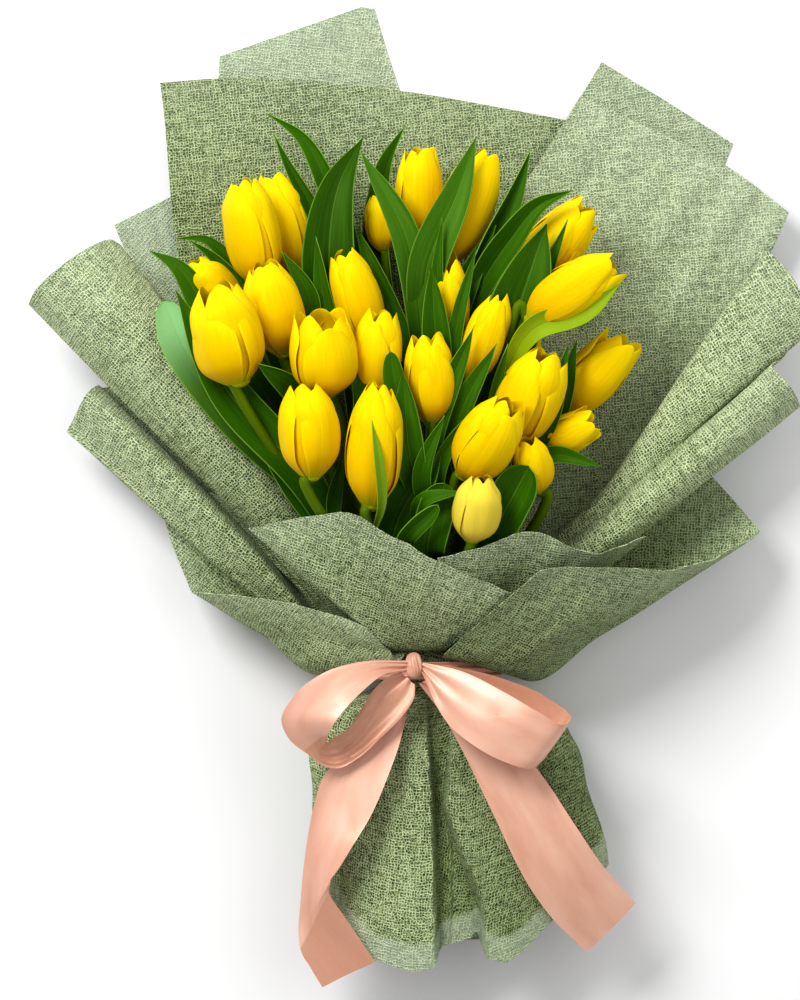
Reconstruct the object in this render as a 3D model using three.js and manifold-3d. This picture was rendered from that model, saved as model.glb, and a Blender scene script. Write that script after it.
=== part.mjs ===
// A bunch of yellow tulips in green wrapping sheets, tied with a ribbon bow, lying on its back.
// Millimetres. +Z is up, the flower heads point to +Y and the bow faces +Z.
import * as THREE from "three";
import { mergeVertices } from "three/addons/utils/BufferGeometryUtils.js";
import Module from "manifold-3d";

const wasm = await Module();
wasm.setup();
const { Manifold, Mesh: SolidMesh } = wasm;

// Clearances between neighbours and thicknesses of the thin pieces.
const CLEARANCE = 0.35;
const HEAD_AIR = 0.42;
const SHEET_THICKNESS = 1.0;
const RIBBON_THICKNESS = 0.9;
const PETAL_THICKNESS = 1.2;
const LEAF_THICKNESS = 1.4;

// The stems pass through the tie in four rows, one above the other.
const TIE_X = 8;
const TIE_Y = -99;
const STEM_RADIUS = 3.4;
const STEM_SIDES = 5;
const STEM_STEPS = 4;
const STEM_PITCH = 5.2;
const STEM_ROW_PITCH = 7.4;
const FIRST_ROW_HEIGHT = 24;
const STEM_END_Y = -215;
const STEM_END_SPREAD = 1.25;
const NECK_LENGTH = 14;
// The tie and the foot of the neck, as places along a stem's line.
const TIE_PLACE = 1 / 3;
const NECK_PLACE = 2 / 3;

// Section of the waist at the tie, an ellipse. Each sheet lies one layer further out.
const WAIST_HEIGHT = 35;
const WAIST_HALF_WIDTH = 30;
const WAIST_HALF_DEPTH = 20;
const LAYER_PITCH = 1.5;
const FEET_TOP_Y = -90;
const FEET_BOTTOM_Y = -108;
const BAND_LAYER = 9;
const BAND_TOP_Y = -91;
const BAND_BOTTOM_Y = -107;
const COLUMN_ANGLE = 15;

// Profiles of a petal, a leaf and a head's receptacle, from root to tip.
const CUP_RADIUS = [0.28, 0.88, 1.0, 0.98, 0.8];
const CLOSED_TIP_RADIUS = 0.3;
const OPEN_TIP_GAIN = 0.55;
const OUTER_PETAL = {
  scale: 1,
  reach: 0.97,
  stations: [0, 0.25, 0.5, 0.76],
  halfAngles: [42, 57, 56, 44],
};
const INNER_PETAL = { scale: 0.8, reach: 1, stations: [0, 0.36, 0.74], halfAngles: [36, 56, 46] };
const SEAT_DEPTH = 0.03;
const RECEPTACLE = [[0, -SEAT_DEPTH], [0.36, 0], [0.4, 0.07], [0, 0.12]];
const RECEPTACLE_SIDES = 5;
const LEAF_STATIONS = [0, 0.22, 0.42, 0.62, 0.82];
const POINTED_LEAF = [0.3, 0.62, 0.92, 1.0, 0.66];
const ROUNDED_LEAF = [0.3, 0.62, 0.88, 1.0, 0.95];
const LEAF_CUP = 0.16;

const LOOK = {
  petals: { color: 0xffd90a, roughness: 0.55 },
  foliage: { color: 0x3d7a24, roughness: 0.5 },
  wrap: { color: 0x93ad80, roughness: 0.9 },
  ribbon: { color: 0xe8b496, roughness: 0.35 },
};

// Each head: its row at the tie, the ends of its axis, its width and how far its tip opens.
// turn swings its petals round its axis, in degrees. A row is listed as its stems fan out.
const HEADS = [
  { row: 0, base: [-107, 114, 36], tip: [-134, 145, 40], width: 28, open: 0.2 },
  { row: 0, base: [-68, 132, 29], tip: [-86, 200, 32], width: 34, open: 0.4 },
  { row: 0, base: [-18, 150, 33], tip: [-23, 185, 35], width: 18, open: 0 },
  { row: 0, base: [2, 154, 33], tip: [4, 215, 39], width: 29, open: 0.5 },
  { row: 0, base: [18, 143, 49], tip: [45, 211, 53], width: 32, open: 0.4 },
  { row: 0, base: [64, 129, 50], tip: [107, 178, 58], width: 32, open: 0.5 },
  { row: 0, base: [73, 128, 29], tip: [100, 151, 32], width: 21, open: 0.3 },
  { row: 0, base: [88, 54, 50], tip: [131, 98, 56], width: 31, open: 0.7 },
  { row: 1, base: [-91, 129, 55], tip: [-104, 193, 66], width: 33, open: 0.3 },
  { row: 1, base: [-26, 93, 59], tip: [-43, 151, 66], width: 28, open: 0.4 },
  { row: 1, base: [23, 95, 66], tip: [21, 152, 72], width: 22, open: 0.3 },
  { row: 1, base: [32, 70, 77], tip: [53, 125, 84], width: 24, open: 0 },
  { row: 1, base: [50, 69, 53], tip: [71, 103, 58], width: 26, open: 0.6 },
  { row: 1, base: [68, 107, 79], tip: [122, 143, 86], width: 32, open: 0.3 },
  { row: 2, base: [-104, 69, 100], tip: [-119, 130, 108], width: 42, open: 0.5, turn: 14 },
  { row: 2, base: [-77, 87, 72], tip: [-91, 144, 83], width: 34, open: 0.4 },
  { row: 2, base: [-53, 62, 95], tip: [-55, 113, 109], width: 40, open: 0.75 },
  { row: 2, base: [-25, 60, 83], tip: [-20, 115, 91], width: 30, open: 0.4 },
  { row: 2, base: [10, 45, 91], tip: [8, 101, 97], width: 29, open: 0.5 },
  { row: 2, base: [56, 34, 78], tip: [82, 90, 96], width: 38, open: 0.4 },
  { row: 2, base: [76, 31, 70], tip: [110, 49, 78], width: 23, open: 0.7 },
  { row: 2, base: [74, 5, 93], tip: [67, 38, 107], width: 23, open: 0.4 },
  { row: 3, base: [-61, 13, 111], tip: [-64, 71, 120], width: 35, open: 0.3 },
  { row: 3, base: [-26, -4, 107], tip: [-20, 71, 120], width: 33, open: 0.1, turn: -12 },
  { row: 3, base: [29, 14, 99], tip: [59, 59, 122], width: 35, open: 0.3 },
  { row: 3, base: [34, -24, 105], tip: [41, 15, 123], width: 28, open: 0 },
];

// Each leaf: the head whose stem it grows on, how far up that stem, a point low on the blade, the tip
// and the width. turn leans the blade about its own length, in degrees.
const LEAVES = [
  { head: 2, at: 0.5, low: [-62, 150, 50], tip: [-89, 234, 26], width: 14 },
  { head: 2, at: 0.45, low: [-52, 140, 44], tip: [-85, 222, 22], width: 12 },
  { head: 3, at: 0.5, low: [-50, 129, 58], tip: [-31, 218, 44], width: 30 },
  { head: 4, at: 0.55, low: [-19, 175, 26], tip: [-5, 227, 24], width: 16, turn: 30 },
  { head: 4, at: 0.6, low: [4, 99, 62], tip: [-32, 209, 62], width: 24 },
  { head: 5, at: 0.65, low: [7, 133, 70], tip: [37, 217, 73], width: 27 },
  { head: 5, at: 0.6, low: [40, 143, 56], tip: [70, 211, 50], width: 17, turn: -20 },
  { head: 5, at: 0.7, low: [53, 149, 70], tip: [95, 185, 78], width: 17 },
  { head: 5, at: 0.65, low: [34, 135, 62], tip: [49, 165, 62], width: 15 },
  { head: 7, at: 0.5, low: [76, 129, 72], tip: [92, 168, 76], width: 12 },
  { head: 1, at: 0.5, low: [-127, 118, 48], tip: [-159, 150, 42], width: 20 },
  { head: 1, at: 0.6, low: [-109, 143, 34], tip: [-144, 158, 34], width: 12 },
  { head: 1, at: 0.55, low: [-104, 127, 44], tip: [-136, 157, 40], width: 12 },
  { head: 8, at: 0.6, low: [88, 60, 74], tip: [97, 95, 80], width: 14 },
  { head: 9, at: 0.35, low: [-101, 36, 56], tip: [-154, 112, 62], width: 26, round: true, turn: -25 },
  { head: 9, at: 0.75, low: [-62, 120, 66], tip: [-79, 149, 66], width: 11 },
  { head: 10, at: 0.8, low: [-52, 113, 64], tip: [-59, 158, 68], width: 11 },
  { head: 11, at: 0.75, low: [-14, 112, 56], tip: [-34, 163, 56], width: 15 },
  { head: 11, at: 0.8, low: [14, 138, 76], tip: [17, 169, 78], width: 8 },
  { head: 11, at: 0.7, low: [13, 96, 84], tip: [10, 139, 88], width: 17 },
  { head: 12, at: 0.7, low: [25, 102, 84], tip: [37, 150, 82], width: 9 },
  { head: 14, at: 0.6, low: [55, 90, 78], tip: [79, 165, 78], width: 34 },
  { head: 14, at: 0.75, low: [68, 100, 92], tip: [123, 129, 92], width: 15 },
  { head: 15, at: 0.3, low: [-68, 8, 70], tip: [-143, 123, 76], width: 18 },
  { head: 15, at: 0.35, low: [-74, 20, 58], tip: [-120, 70, 66], width: 13 },
  { head: 16, at: 0.7, low: [-70, 63, 92], tip: [-93, 81, 114], width: 15 },
  { head: 17, at: 0.75, low: [-31, 60, 96], tip: [-43, 105, 92], width: 11 },
  { head: 19, at: 0.6, low: [-1, 18, 104], tip: [-7, 77, 112], width: 18 },
  { head: 19, at: 0.75, low: [-9, 55, 104], tip: [-14, 88, 108], width: 13, round: true },
  { head: 19, at: 0.7, low: [13, 42, 94], tip: [35, 102, 100], width: 13 },
  { head: 20, at: 0.65, low: [25, 42, 92], tip: [49, 93, 100], width: 14 },
  { head: 20, at: 0.75, low: [50, 70, 90], tip: [56, 93, 90], width: 8 },
  { head: 21, at: 0.75, low: [79, 44, 82], tip: [92, 93, 84], width: 11 },
  { head: 21, at: 0.8, low: [82, 27, 84], tip: [112, 20, 84], width: 10 },
  { head: 23, at: 0.6, low: [-47, -12, 86], tip: [-43, 25, 92], width: 9 },
  { head: 23, at: 0.4, low: [-60, -10, 78], tip: [-100, 50, 84], width: 13 },
  { head: 24, at: 0.55, low: [-12, -20, 92], tip: [16, 30, 106], width: 24 },
  { head: 25, at: 0.6, low: [5, 18, 108], tip: [18, 50, 114], width: 11 },
  { head: 25, at: 0.65, low: [16, 22, 104], tip: [40, 58, 104], width: 9 },
  { head: 25, at: 0.5, low: [8, 0, 112], tip: [30, 5, 120], width: 12, turn: 30 },
  { head: 25, at: 0.45, low: [-6, -24, 108], tip: [14, -3, 122], width: 12, round: true, turn: -30 },
  { head: 25, at: 0.5, low: [8, -30, 100], tip: [18, 10, 108], width: 22, round: true },
  { head: 26, at: 0.6, low: [46, -21, 96], tip: [68, 20, 112], width: 26, round: true },
];

// Wrapping sheets. Each lists the first angle of its foot on the waist, its layer there, and the
// points that each of its columns passes through above the tie, 15 degrees of the waist apart.
const SHEETS = [
  {
    name: "wrap_back_top",
    layer: 8,
    from: 240,
    columns: [
      [[-125, 130, 0.5], [-118, 270, 0.5]],
      [[-85, 135, 0.5], [-75, 285, 0.5]],
      [[-45, 140, 0.5], [-32, 300, 0.5]],
      [[-10, 145, 0.5], [-24, 299, 0.5]],
      [[20, 150, 0.5], [-20, 285, 0.5]],
    ],
  },
  {
    name: "wrap_back_left",
    layer: 4,
    from: 210,
    columns: [
      [[-130, 100, 16], [-154, 253, 14]],
      [[-100, 80, 13], [-115, 256, 10]],
      [[-60, 70, 10], [-56, 254, 7]],
      [[-20, 65, 7], [4, 247, 5.5]],
      [[20, 65, 5.5], [50, 239, 5]],
      [[50, 65, 5.5], [92, 231, 4.5]],
      [[66, 60, 5.5], [84, 185, 4.5]],
    ],
  },
  {
    name: "wrap_back_right_outer",
    layer: 3,
    from: 285,
    columns: [
      [[30, 120, 9.8], [114, 266, 9]],
      [[85, 105, 7], [154, 242, 5]],
      [[140, 85, 0.5], [194, 217, 0.5]],
    ],
  },
  {
    name: "wrap_back_right_inner",
    layer: 2,
    from: 285,
    columns: [
      [[28, 118, 15], [101, 245, 15]],
      [[75, 105, 16], [150, 222, 17]],
      [[120, 88, 18], [190, 202, 20]],
      [[165, 60, 21], [227, 174, 24]],
      [[172, 40, 23], [214, 150, 26]],
    ],
  },
  {
    name: "wrap_left_inner",
    layer: 5,
    from: 195,
    columns: [
      [[-135, 60, 9], [-182, 167, 8]],
      [[-118, 55, 8], [-160, 178, 6.5]],
      [[-95, 50, 6.5], [-140, 188, 5]],
      [[-70, 45, 5.5], [-118, 198, 3.5]],
    ],
  },
  {
    name: "wrap_left_roll",
    layer: 1,
    from: 135,
    columns: [
      [[-97, -17, 50], [-232, 118, 40]],
      [[-91, -14, 60], [-226, 128, 56]],
      [[-82, -10, 65], [-212, 140, 64]],
      [[-74, -6, 62], [-196, 151, 60]],
      [[-68, -2, 52], [-182, 157, 44]],
      [[-66, 4, 34], [-172, 146, 24]],
    ],
  },
  {
    name: "wrap_lower_left",
    layer: 6,
    from: 120,
    columns: [
      [[-54, -93, 60], [-90, -86, 54]],
      [[-74, -76, 56], [-134, -55, 44]],
      [[-84, -66, 50], [-140, -40, 30]],
      [[-96, -52, 44], [-153, -7, 22]],
      [[-106, -36, 42], [-210, 41, 26]],
      [[-100, -26, 34], [-190, 71, 30]],
      [[-95, -22, 20], [-176, 62, 14]],
    ],
  },
  {
    name: "wrap_front_left_flap",
    layer: 4,
    from: 60,
    columns: [
      [[36, -76, 90], [58, -55, 106]],
      [[8, -65, 96], [13, -36, 119]],
      [[-8, -58, 98], [-12, -22, 121]],
      [[-22, -52, 98], [-36, -8, 120]],
      [[-36, -52, 92], [-47, -8, 114]],
      [[-50, -55, 82], [-75, -12, 98]],
      [[-62, -58, 70], [-99, -17, 80]],
    ],
  },
  {
    name: "wrap_front_centre_flap",
    layer: 3,
    from: 15,
    columns: [
      [[90, -62, 54], [139, -22, 70]],
      [[66, -62, 72], [96, -27, 94]],
      [[50, -60, 80], [70, -20, 104]],
      [[32, -62, 86], [42, -27, 110]],
      [[12, -66, 86], [14, -35, 110]],
    ],
  },
  {
    name: "wrap_front_right_flap",
    layer: 7,
    from: -30,
    columns: [
      [[98, -40, 18], [181, 14, 20]],
      [[108, -62, 20], [195, -2, 24]],
      [[118, -82, 34], [209, -19, 34]],
      [[106, -86, 54], [185, -34, 58]],
      [[92, -88, 68], [155, -42, 82]],
      [[72, -84, 82], [110, -40, 104]],
      [[40, -70, 104], [74, -41, 118]],
    ],
  },
  {
    name: "wrap_right_roll",
    layer: 1,
    from: -45,
    columns: [
      [[104, -4, 34], [196, 128, 30]],
      [[110, 2, 52], [214, 150, 42]],
      [[114, -5, 62], [230, 134, 56]],
      [[118, -14, 66], [238, 104, 64]],
      [[122, -24, 63], [237, 76, 60]],
      [[124, -33, 54], [231, 56, 46]],
      [[118, -30, 44], [216, 58, 34]],
    ],
  },
];

// Rings of the tail below the tie: place along Y, middle, half width, half depth and pleat depth.
const TAIL_TOP_Y = -94;
const TAIL_FLARE_Y = -112;
const TAIL_RINGS = [
  { y: -150, x: 19, halfWidth: 78, height: 35, halfDepth: 27, pleat: 3 },
  { y: -206, x: 29, halfWidth: 91, height: 34, halfDepth: 30, pleat: 3 },
];
const TAIL_HEM = { x: 20, halfWidth: 86, height: 34, halfDepth: 30, pleat: 3 };
const TAIL_HEM_SIDE_Y = -228;
const TAIL_HEM_CENTRE_Y = -281;
const TAIL_NOTCH_X = 27;
const TAIL_NOTCH_WIDTH = 10;
const TAIL_NOTCH_DEPTH = 22;

// The ribbon's two edges, from the knot along each loop and each tail.
const KNOT = { centre: [0, -99, 75.9], halfSize: [8.5, 11, 7], around: 12, along: 8 };
const RIBBON_STRIPS = [
  {
    name: "ribbon_left_loop",
    outer: [
      [-8.2, -95, 79], [-31, -96, 92], [-54, -103, 102], [-73, -116, 106], [-79, -133, 98],
      [-74, -144, 88], [-58, -156, 80], [-46, -160, 77], [-20, -138, 75], [-7, -109, 76],
    ],
    inner: [
      [-8.6, -101, 79], [-25, -112, 88], [-42, -122, 95], [-49, -134, 97], [-52, -143, 93],
      [-52, -148, 86], [-47, -149, 80], [-40, -145, 77.5], [-18, -122, 76.5], [-8.4, -104, 76],
    ],
  },
  {
    name: "ribbon_right_loop",
    outer: [
      [8.2, -96, 80], [28, -106, 92], [52, -119, 102], [76, -129, 104], [91, -133, 97],
      [94, -128, 88], [83, -119, 82], [61, -109, 80], [33, -100, 78], [8.6, -97, 76],
    ],
    inner: [
      [7.8, -104, 80], [18, -130, 88], [30, -142, 96], [52, -155, 100], [70, -159, 95],
      [78, -150, 87], [68, -140, 81], [50, -130, 79], [26, -116, 77], [8.4, -103, 75],
    ],
  },
  {
    name: "ribbon_left_tail",
    outer: [
      [-7, -107, 73.5], [-30, -140, 71], [-51, -161, 71], [-59, -179, 72], [-65, -210, 72],
      [-68, -240, 68], [-70, -256, 63], [-68, -271, 56], [-55, -293, 50],
    ],
    inner: [
      [-1, -109.8, 74], [-6, -135, 72], [-11, -153, 73], [-26, -187, 74], [-42, -216, 74],
      [-52, -232, 70], [-50, -245, 65], [-38, -258, 64], [-23, -277, 63],
    ],
  },
  {
    name: "ribbon_right_tail",
    outer: [
      [8, -107, 73.5], [40, -125, 72], [72, -159, 72], [96, -194, 72], [113, -219, 66],
      [122, -230, 60], [133, -242, 52],
    ],
    inner: [
      [3, -109.8, 74], [16, -127, 72], [30, -152, 72], [46, -185, 73], [70, -233, 66],
      [83, -251, 60], [104, -272, 50],
    ],
  },
];

const vector = (point) => new THREE.Vector3(...point);
const radians = (degrees) => THREE.MathUtils.degToRad(degrees);

/** The volume inside an indexed mesh, negative where its faces look inward. */
function signedVolume(positions, corners) {
  const point = (corner) => new THREE.Vector3().fromArray(positions, corner * 3);
  let volume = 0;
  for (let index = 0; index < corners.length; index += 3) {
    const [a, b, c] = Array.from(corners.slice(index, index + 3), point);
    volume += a.dot(b.cross(c)) / 6;
  }
  return volume;
}

/** Turns a closed three.js geometry into a solid with its faces outward. */
function solidOf(geometry) {
  const bare = geometry.clone();
  bare.deleteAttribute("normal");
  bare.deleteAttribute("uv");
  const merged = mergeVertices(bare, 1e-4);
  const positions = merged.attributes.position.array;
  const corners = Array.from(merged.index.array);
  const turned = signedVolume(positions, corners) < 0;
  const triangles = [];
  for (let index = 0; index < corners.length; index += 3) {
    const [a, b, c] = corners.slice(index, index + 3);
    if (a !== b && b !== c && c !== a) {
      triangles.push(...(turned ? [a, c, b] : [a, b, c]));
    }
  }
  const solid = new Manifold(
    new SolidMesh({
      numProp: 3,
      vertProperties: new Float32Array(positions),
      triVerts: new Uint32Array(triangles),
    }),
  );
  if (solid.isEmpty()) {
    throw new Error("a piece isn't a closed solid");
  }
  return solid;
}

/** Turns a solid into a three.js geometry. */
function geometryOf(solid) {
  const mesh = solid.getMesh();
  const geometry = new THREE.BufferGeometry();
  geometry.setAttribute("position", new THREE.BufferAttribute(mesh.vertProperties, 3));
  geometry.setIndex(new THREE.BufferAttribute(mesh.triVerts, 1));
  geometry.computeVertexNormals();
  return geometry;
}

/** Makes a geometry from points and triangles. */
function closedGeometry(points, triangles) {
  const geometry = new THREE.BufferGeometry().setFromPoints(points);
  geometry.setIndex(triangles.flat());
  return geometry;
}

/** The largest body of a solid, without its loose scraps. */
function largestBody(solid) {
  const bodies = solid.decompose();
  bodies.sort((a, b) => b.volume() - a.volume());
  return bodies[0];
}

/** Interpolates a list of values, spaced evenly from 0 to 1, smoothly at one place. */
function profileAt(values, place) {
  const points = values.map((value, index) => new THREE.Vector2(index / (values.length - 1), value));
  return new THREE.SplineCurve(points).getPoint(place).y;
}

/**
 * A blade of lens section: two faces that meet in sharp edges and run out in a tip.
 * Each station has a left, front, right and back point. Both faces are split into triangles alike.
 */
function bladeGeometry(stations, tip) {
  const points = stations.flatMap((station) => [station.left, station.front, station.right, station.back]);
  const triangles = [[0, 1, 2], [0, 2, 3]];
  const tipIndex = points.push(tip) - 1;
  stations.forEach((station, index) => {
    const here = index * 4;
    const next = here + 4;
    for (let side = 0; side < 4; side += 1) {
      const a = here + side;
      const b = here + ((side + 1) % 4);
      const c = next + ((side + 1) % 4);
      const d = next + side;
      if (index === stations.length - 1) {
        triangles.push([b, a, tipIndex]);
      } else if (side % 2 === 0) {
        triangles.push([b, a, d], [b, d, c]);
      } else {
        triangles.push([b, a, c], [a, d, c]);
      }
    }
  });
  return closedGeometry(points, triangles);
}

/**
 * A slab between two faces laid either side of a grid of points, open or closed round its columns.
 * Both faces are split into triangles alike.
 */
function slabGeometry(rows, thickness, closed = false) {
  const last = rows[0].length - 1;
  const at = (row, column) => {
    const r = THREE.MathUtils.clamp(row, 0, rows.length - 1);
    const c = closed ? (column + last + 1) % (last + 1) : THREE.MathUtils.clamp(column, 0, last);
    return rows[r][c];
  };
  const points = [];
  for (const side of [0.5, -0.5]) {
    rows.forEach((row, r) => {
      row.forEach((point, c) => {
        const along = at(r + 1, c).clone().sub(at(r - 1, c));
        const across = at(r, c + 1).clone().sub(at(r, c - 1));
        const normal = across.cross(along).normalize();
        points.push(point.clone().addScaledVector(normal, side * thickness));
      });
    });
  }
  const columns = last + 1;
  const layer = rows.length * columns;
  const quads = [];
  const spans = closed ? columns : last;
  for (let r = 0; r < rows.length - 1; r += 1) {
    for (let c = 0; c < spans; c += 1) {
      const a = r * columns + c;
      const b = r * columns + ((c + 1) % columns);
      const e = a + columns;
      const d = b + columns;
      quads.push([a, b, d, e], [layer + a, layer + e, layer + d, layer + b]);
    }
  }
  for (let c = 0; c < spans; c += 1) {
    const a = c;
    const b = (c + 1) % columns;
    const top = (rows.length - 1) * columns;
    quads.push([b, a, layer + a, layer + b], [top + a, top + b, layer + top + b, layer + top + a]);
  }
  if (!closed) {
    for (let r = 0; r < rows.length - 1; r += 1) {
      const a = r * columns;
      const e = a + columns;
      quads.push([a, e, layer + e, layer + a], [e + last, a + last, layer + a + last, layer + e + last]);
    }
  }
  const triangles = quads.flatMap(([a, b, c, d]) => [[a, b, c], [a, c, d]]);
  return closedGeometry(points, triangles);
}

/** A point on the waist at an angle seen from the cut ends, on one of its layers. */
function waistPoint(angle, layer, y) {
  const x = TIE_X + (WAIST_HALF_WIDTH + layer * LAYER_PITCH) * Math.cos(radians(angle));
  const z = WAIST_HEIGHT + (WAIST_HALF_DEPTH + layer * LAYER_PITCH) * Math.sin(radians(angle));
  return new THREE.Vector3(x, y, z);
}

/** Axis, length and side directions of a head. */
function headFrame(head) {
  const base = vector(head.base);
  const axis = vector(head.tip).sub(base);
  const length = axis.length();
  axis.normalize();
  const side = new THREE.Vector3(0, 0, 1).cross(axis).normalize();
  const front = new THREE.Vector3().crossVectors(axis, side);
  return { base, axis, length, side, front };
}

/** A point of a head at an angle about its axis, a radius and a height above its base. */
function headPoint(frame, angle, radius, height) {
  return frame.base
    .clone()
    .addScaledVector(frame.side, radius * Math.sin(radians(angle)))
    .addScaledVector(frame.front, -radius * Math.cos(radians(angle)))
    .addScaledVector(frame.axis, height);
}

/** One petal, standing on the cup of its head. */
function petalSolid(head, frame, angle, petal) {
  const tipRadius = CLOSED_TIP_RADIUS + OPEN_TIP_GAIN * head.open;
  const radiusAt = (place) => petal.scale * (head.width / 2) * profileAt([...CUP_RADIUS, tipRadius], place);
  const stations = petal.stations.map((place, index) => {
    const radius = radiusAt(place);
    const height = frame.length * petal.reach * place;
    const spread = petal.halfAngles[index];
    return {
      left: headPoint(frame, angle - spread, radius, height),
      front: headPoint(frame, angle, radius, height),
      right: headPoint(frame, angle + spread, radius, height),
      back: headPoint(frame, angle, radius - PETAL_THICKNESS, height),
    };
  });
  const tip = headPoint(frame, angle, radiusAt(1), frame.length * petal.reach);
  return solidOf(bladeGeometry(stations, tip));
}

/** A tulip head: three outer and three inner petals that stand on a receptacle. */
function headSolid(head) {
  const frame = headFrame(head);
  const profile = RECEPTACLE.map(
    ([radius, place]) => new THREE.Vector2((radius * head.width) / 2, place * frame.length),
  );
  const receptacle = new THREE.LatheGeometry(profile, RECEPTACLE_SIDES);
  const placing = new THREE.Matrix4().makeBasis(frame.front, frame.axis, frame.side);
  placing.setPosition(frame.base);
  receptacle.applyMatrix4(placing);
  const petals = [solidOf(receptacle)];
  for (let index = 0; index < 3; index += 1) {
    const angle = (head.turn ?? 0) + index * 120;
    petals.push(petalSolid(head, frame, angle + 180, OUTER_PETAL));
    petals.push(petalSolid(head, frame, angle + 120, INNER_PETAL));
  }
  return largestBody(Manifold.union(petals));
}

/** The room that a head takes up, with a little air round it. */
function headRoom(solid, head) {
  const hull = solid.hull();
  const { min, max } = hull.boundingBox();
  const centre = min.map((value, index) => (value + max[index]) / 2);
  const growth = 1 + (2 * HEAD_AIR) / head.width;
  const away = centre.map((value) => -value);
  return hull.translate(away).scale(growth).translate(centre);
}

/** The line of a stem, from its cut end through the tie to just under its head. */
function stemCurve(head, place, count) {
  const frame = headFrame(head);
  const x = (place - (count - 1) / 2) * STEM_PITCH;
  const z = FIRST_ROW_HEIGHT + head.row * STEM_ROW_PITCH;
  const endHeight = WAIST_HEIGHT + (z - WAIST_HEIGHT) * STEM_END_SPREAD;
  const neck = frame.base.clone().addScaledVector(frame.axis, -SEAT_DEPTH * frame.length - CLEARANCE);
  const below = neck.clone().addScaledVector(frame.axis, -NECK_LENGTH);
  return new THREE.CatmullRomCurve3([
    new THREE.Vector3(TIE_X + x * STEM_END_SPREAD, STEM_END_Y, endHeight),
    new THREE.Vector3(TIE_X + x, TIE_Y, z),
    below,
    neck,
  ]);
}

/** A stem as a tube along its line. */
function stemSolid(curve, grow = 0) {
  const section = new THREE.Shape();
  for (let index = 0; index < STEM_SIDES; index += 1) {
    const angle = (index / STEM_SIDES) * 2 * Math.PI;
    const x = (STEM_RADIUS + grow) * Math.cos(angle);
    const y = (STEM_RADIUS + grow) * Math.sin(angle);
    if (index === 0) {
      section.moveTo(x, y);
    } else {
      section.lineTo(x, y);
    }
  }
  const geometry = new THREE.ExtrudeGeometry(section, {
    steps: STEM_STEPS,
    bevelEnabled: false,
    extrudePath: curve,
  });
  return solidOf(geometry);
}

/** A leaf: a cupped blade that grows out of a stem. */
function leafSolid(leaf, stem, grow = 0) {
  const root = stem.getPoint(THREE.MathUtils.lerp(TIE_PLACE, NECK_PLACE, leaf.at));
  const tip = vector(leaf.tip);
  const curve = new THREE.CatmullRomCurve3([root, vector(leaf.low), tip]);
  const widths = leaf.round ? ROUNDED_LEAF : POINTED_LEAF;
  const stations = LEAF_STATIONS.map((place, index) => {
    const point = curve.getPoint(place);
    const along = curve.getTangent(place);
    const across = along.clone().cross(new THREE.Vector3(0, 0, 1)).normalize();
    across.applyAxisAngle(along, radians(leaf.turn ?? 0));
    const facing = across.clone().cross(along).normalize();
    const half = (leaf.width / 2) * widths[index] + grow;
    const raised = facing.clone().multiplyScalar(leaf.width * LEAF_CUP * widths[index]);
    return {
      left: point.clone().addScaledVector(across, -half).add(raised),
      front: point.clone().addScaledVector(facing, LEAF_THICKNESS / 2 + grow),
      right: point.clone().addScaledVector(across, half).add(raised),
      back: point.clone().addScaledVector(facing, -LEAF_THICKNESS / 2 - grow),
    };
  });
  return solidOf(bladeGeometry(stations, tip));
}

/** A wrapping sheet, from under the ribbon up through its columns. */
function sheetSolid(sheet, grow = 0) {
  const feet = [FEET_BOTTOM_Y, FEET_TOP_Y].map((y) =>
    sheet.columns.map((column, index) => waistPoint(sheet.from + index * COLUMN_ANGLE, sheet.layer, y)),
  );
  const upper = sheet.columns[0].map((_, row) => sheet.columns.map((column) => vector(column[row])));
  return solidOf(slabGeometry([...feet, ...upper], SHEET_THICKNESS + 2 * grow));
}

/** One ring of the pleated tail. */
function tailRing(ring, placeY) {
  const points = [];
  for (let angle = 0; angle < 360; angle += COLUMN_ANGLE) {
    const pleat = (angle / COLUMN_ANGLE) % 2 === 0 ? ring.pleat : -ring.pleat;
    const x = ring.x + ring.halfWidth * Math.cos(radians(angle));
    const depth = ring.halfDepth + (angle < 180 ? pleat : 0);
    points.push(new THREE.Vector3(x, placeY(x, angle), ring.height + depth * Math.sin(radians(angle))));
  }
  return points;
}

/** A ring round the waist on one of its layers. */
function waistRing(layer, y) {
  const points = [];
  for (let angle = 0; angle < 360; angle += COLUMN_ANGLE) {
    points.push(waistPoint(angle, layer, y));
  }
  return points;
}

/** How far along Y the hem reaches: rounded, with a notch in front where the sheet's edges part. */
function hemPlace(x, angle) {
  const out = Math.min(1, Math.abs(x - TAIL_HEM.x) / TAIL_HEM.halfWidth);
  const drop = (TAIL_HEM_CENTRE_Y - TAIL_HEM_SIDE_Y) * Math.sqrt(1 - out ** 2);
  const notch = Math.max(0, 1 - Math.abs(x - TAIL_NOTCH_X) / TAIL_NOTCH_WIDTH);
  return TAIL_HEM_SIDE_Y + drop + (angle < 180 ? notch * TAIL_NOTCH_DEPTH : 0);
}

/** The inner sheet at the waist and its pleated tail below the tie, open at the cut ends. */
function tailSolid(grow = 0) {
  const rings = TAIL_RINGS.map((ring) => tailRing(ring, () => ring.y));
  const waist = [waistRing(0, TAIL_TOP_Y), waistRing(0, TAIL_FLARE_Y)];
  const rows = [...waist, ...rings, tailRing(TAIL_HEM, hemPlace)];
  return solidOf(slabGeometry(rows, SHEET_THICKNESS + 2 * grow, true));
}

/** The ribbon's band round the waist. */
function bandSolid() {
  const rows = [waistRing(BAND_LAYER, BAND_TOP_Y), waistRing(BAND_LAYER, BAND_BOTTOM_Y)];
  return solidOf(slabGeometry(rows, RIBBON_THICKNESS, true));
}

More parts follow.
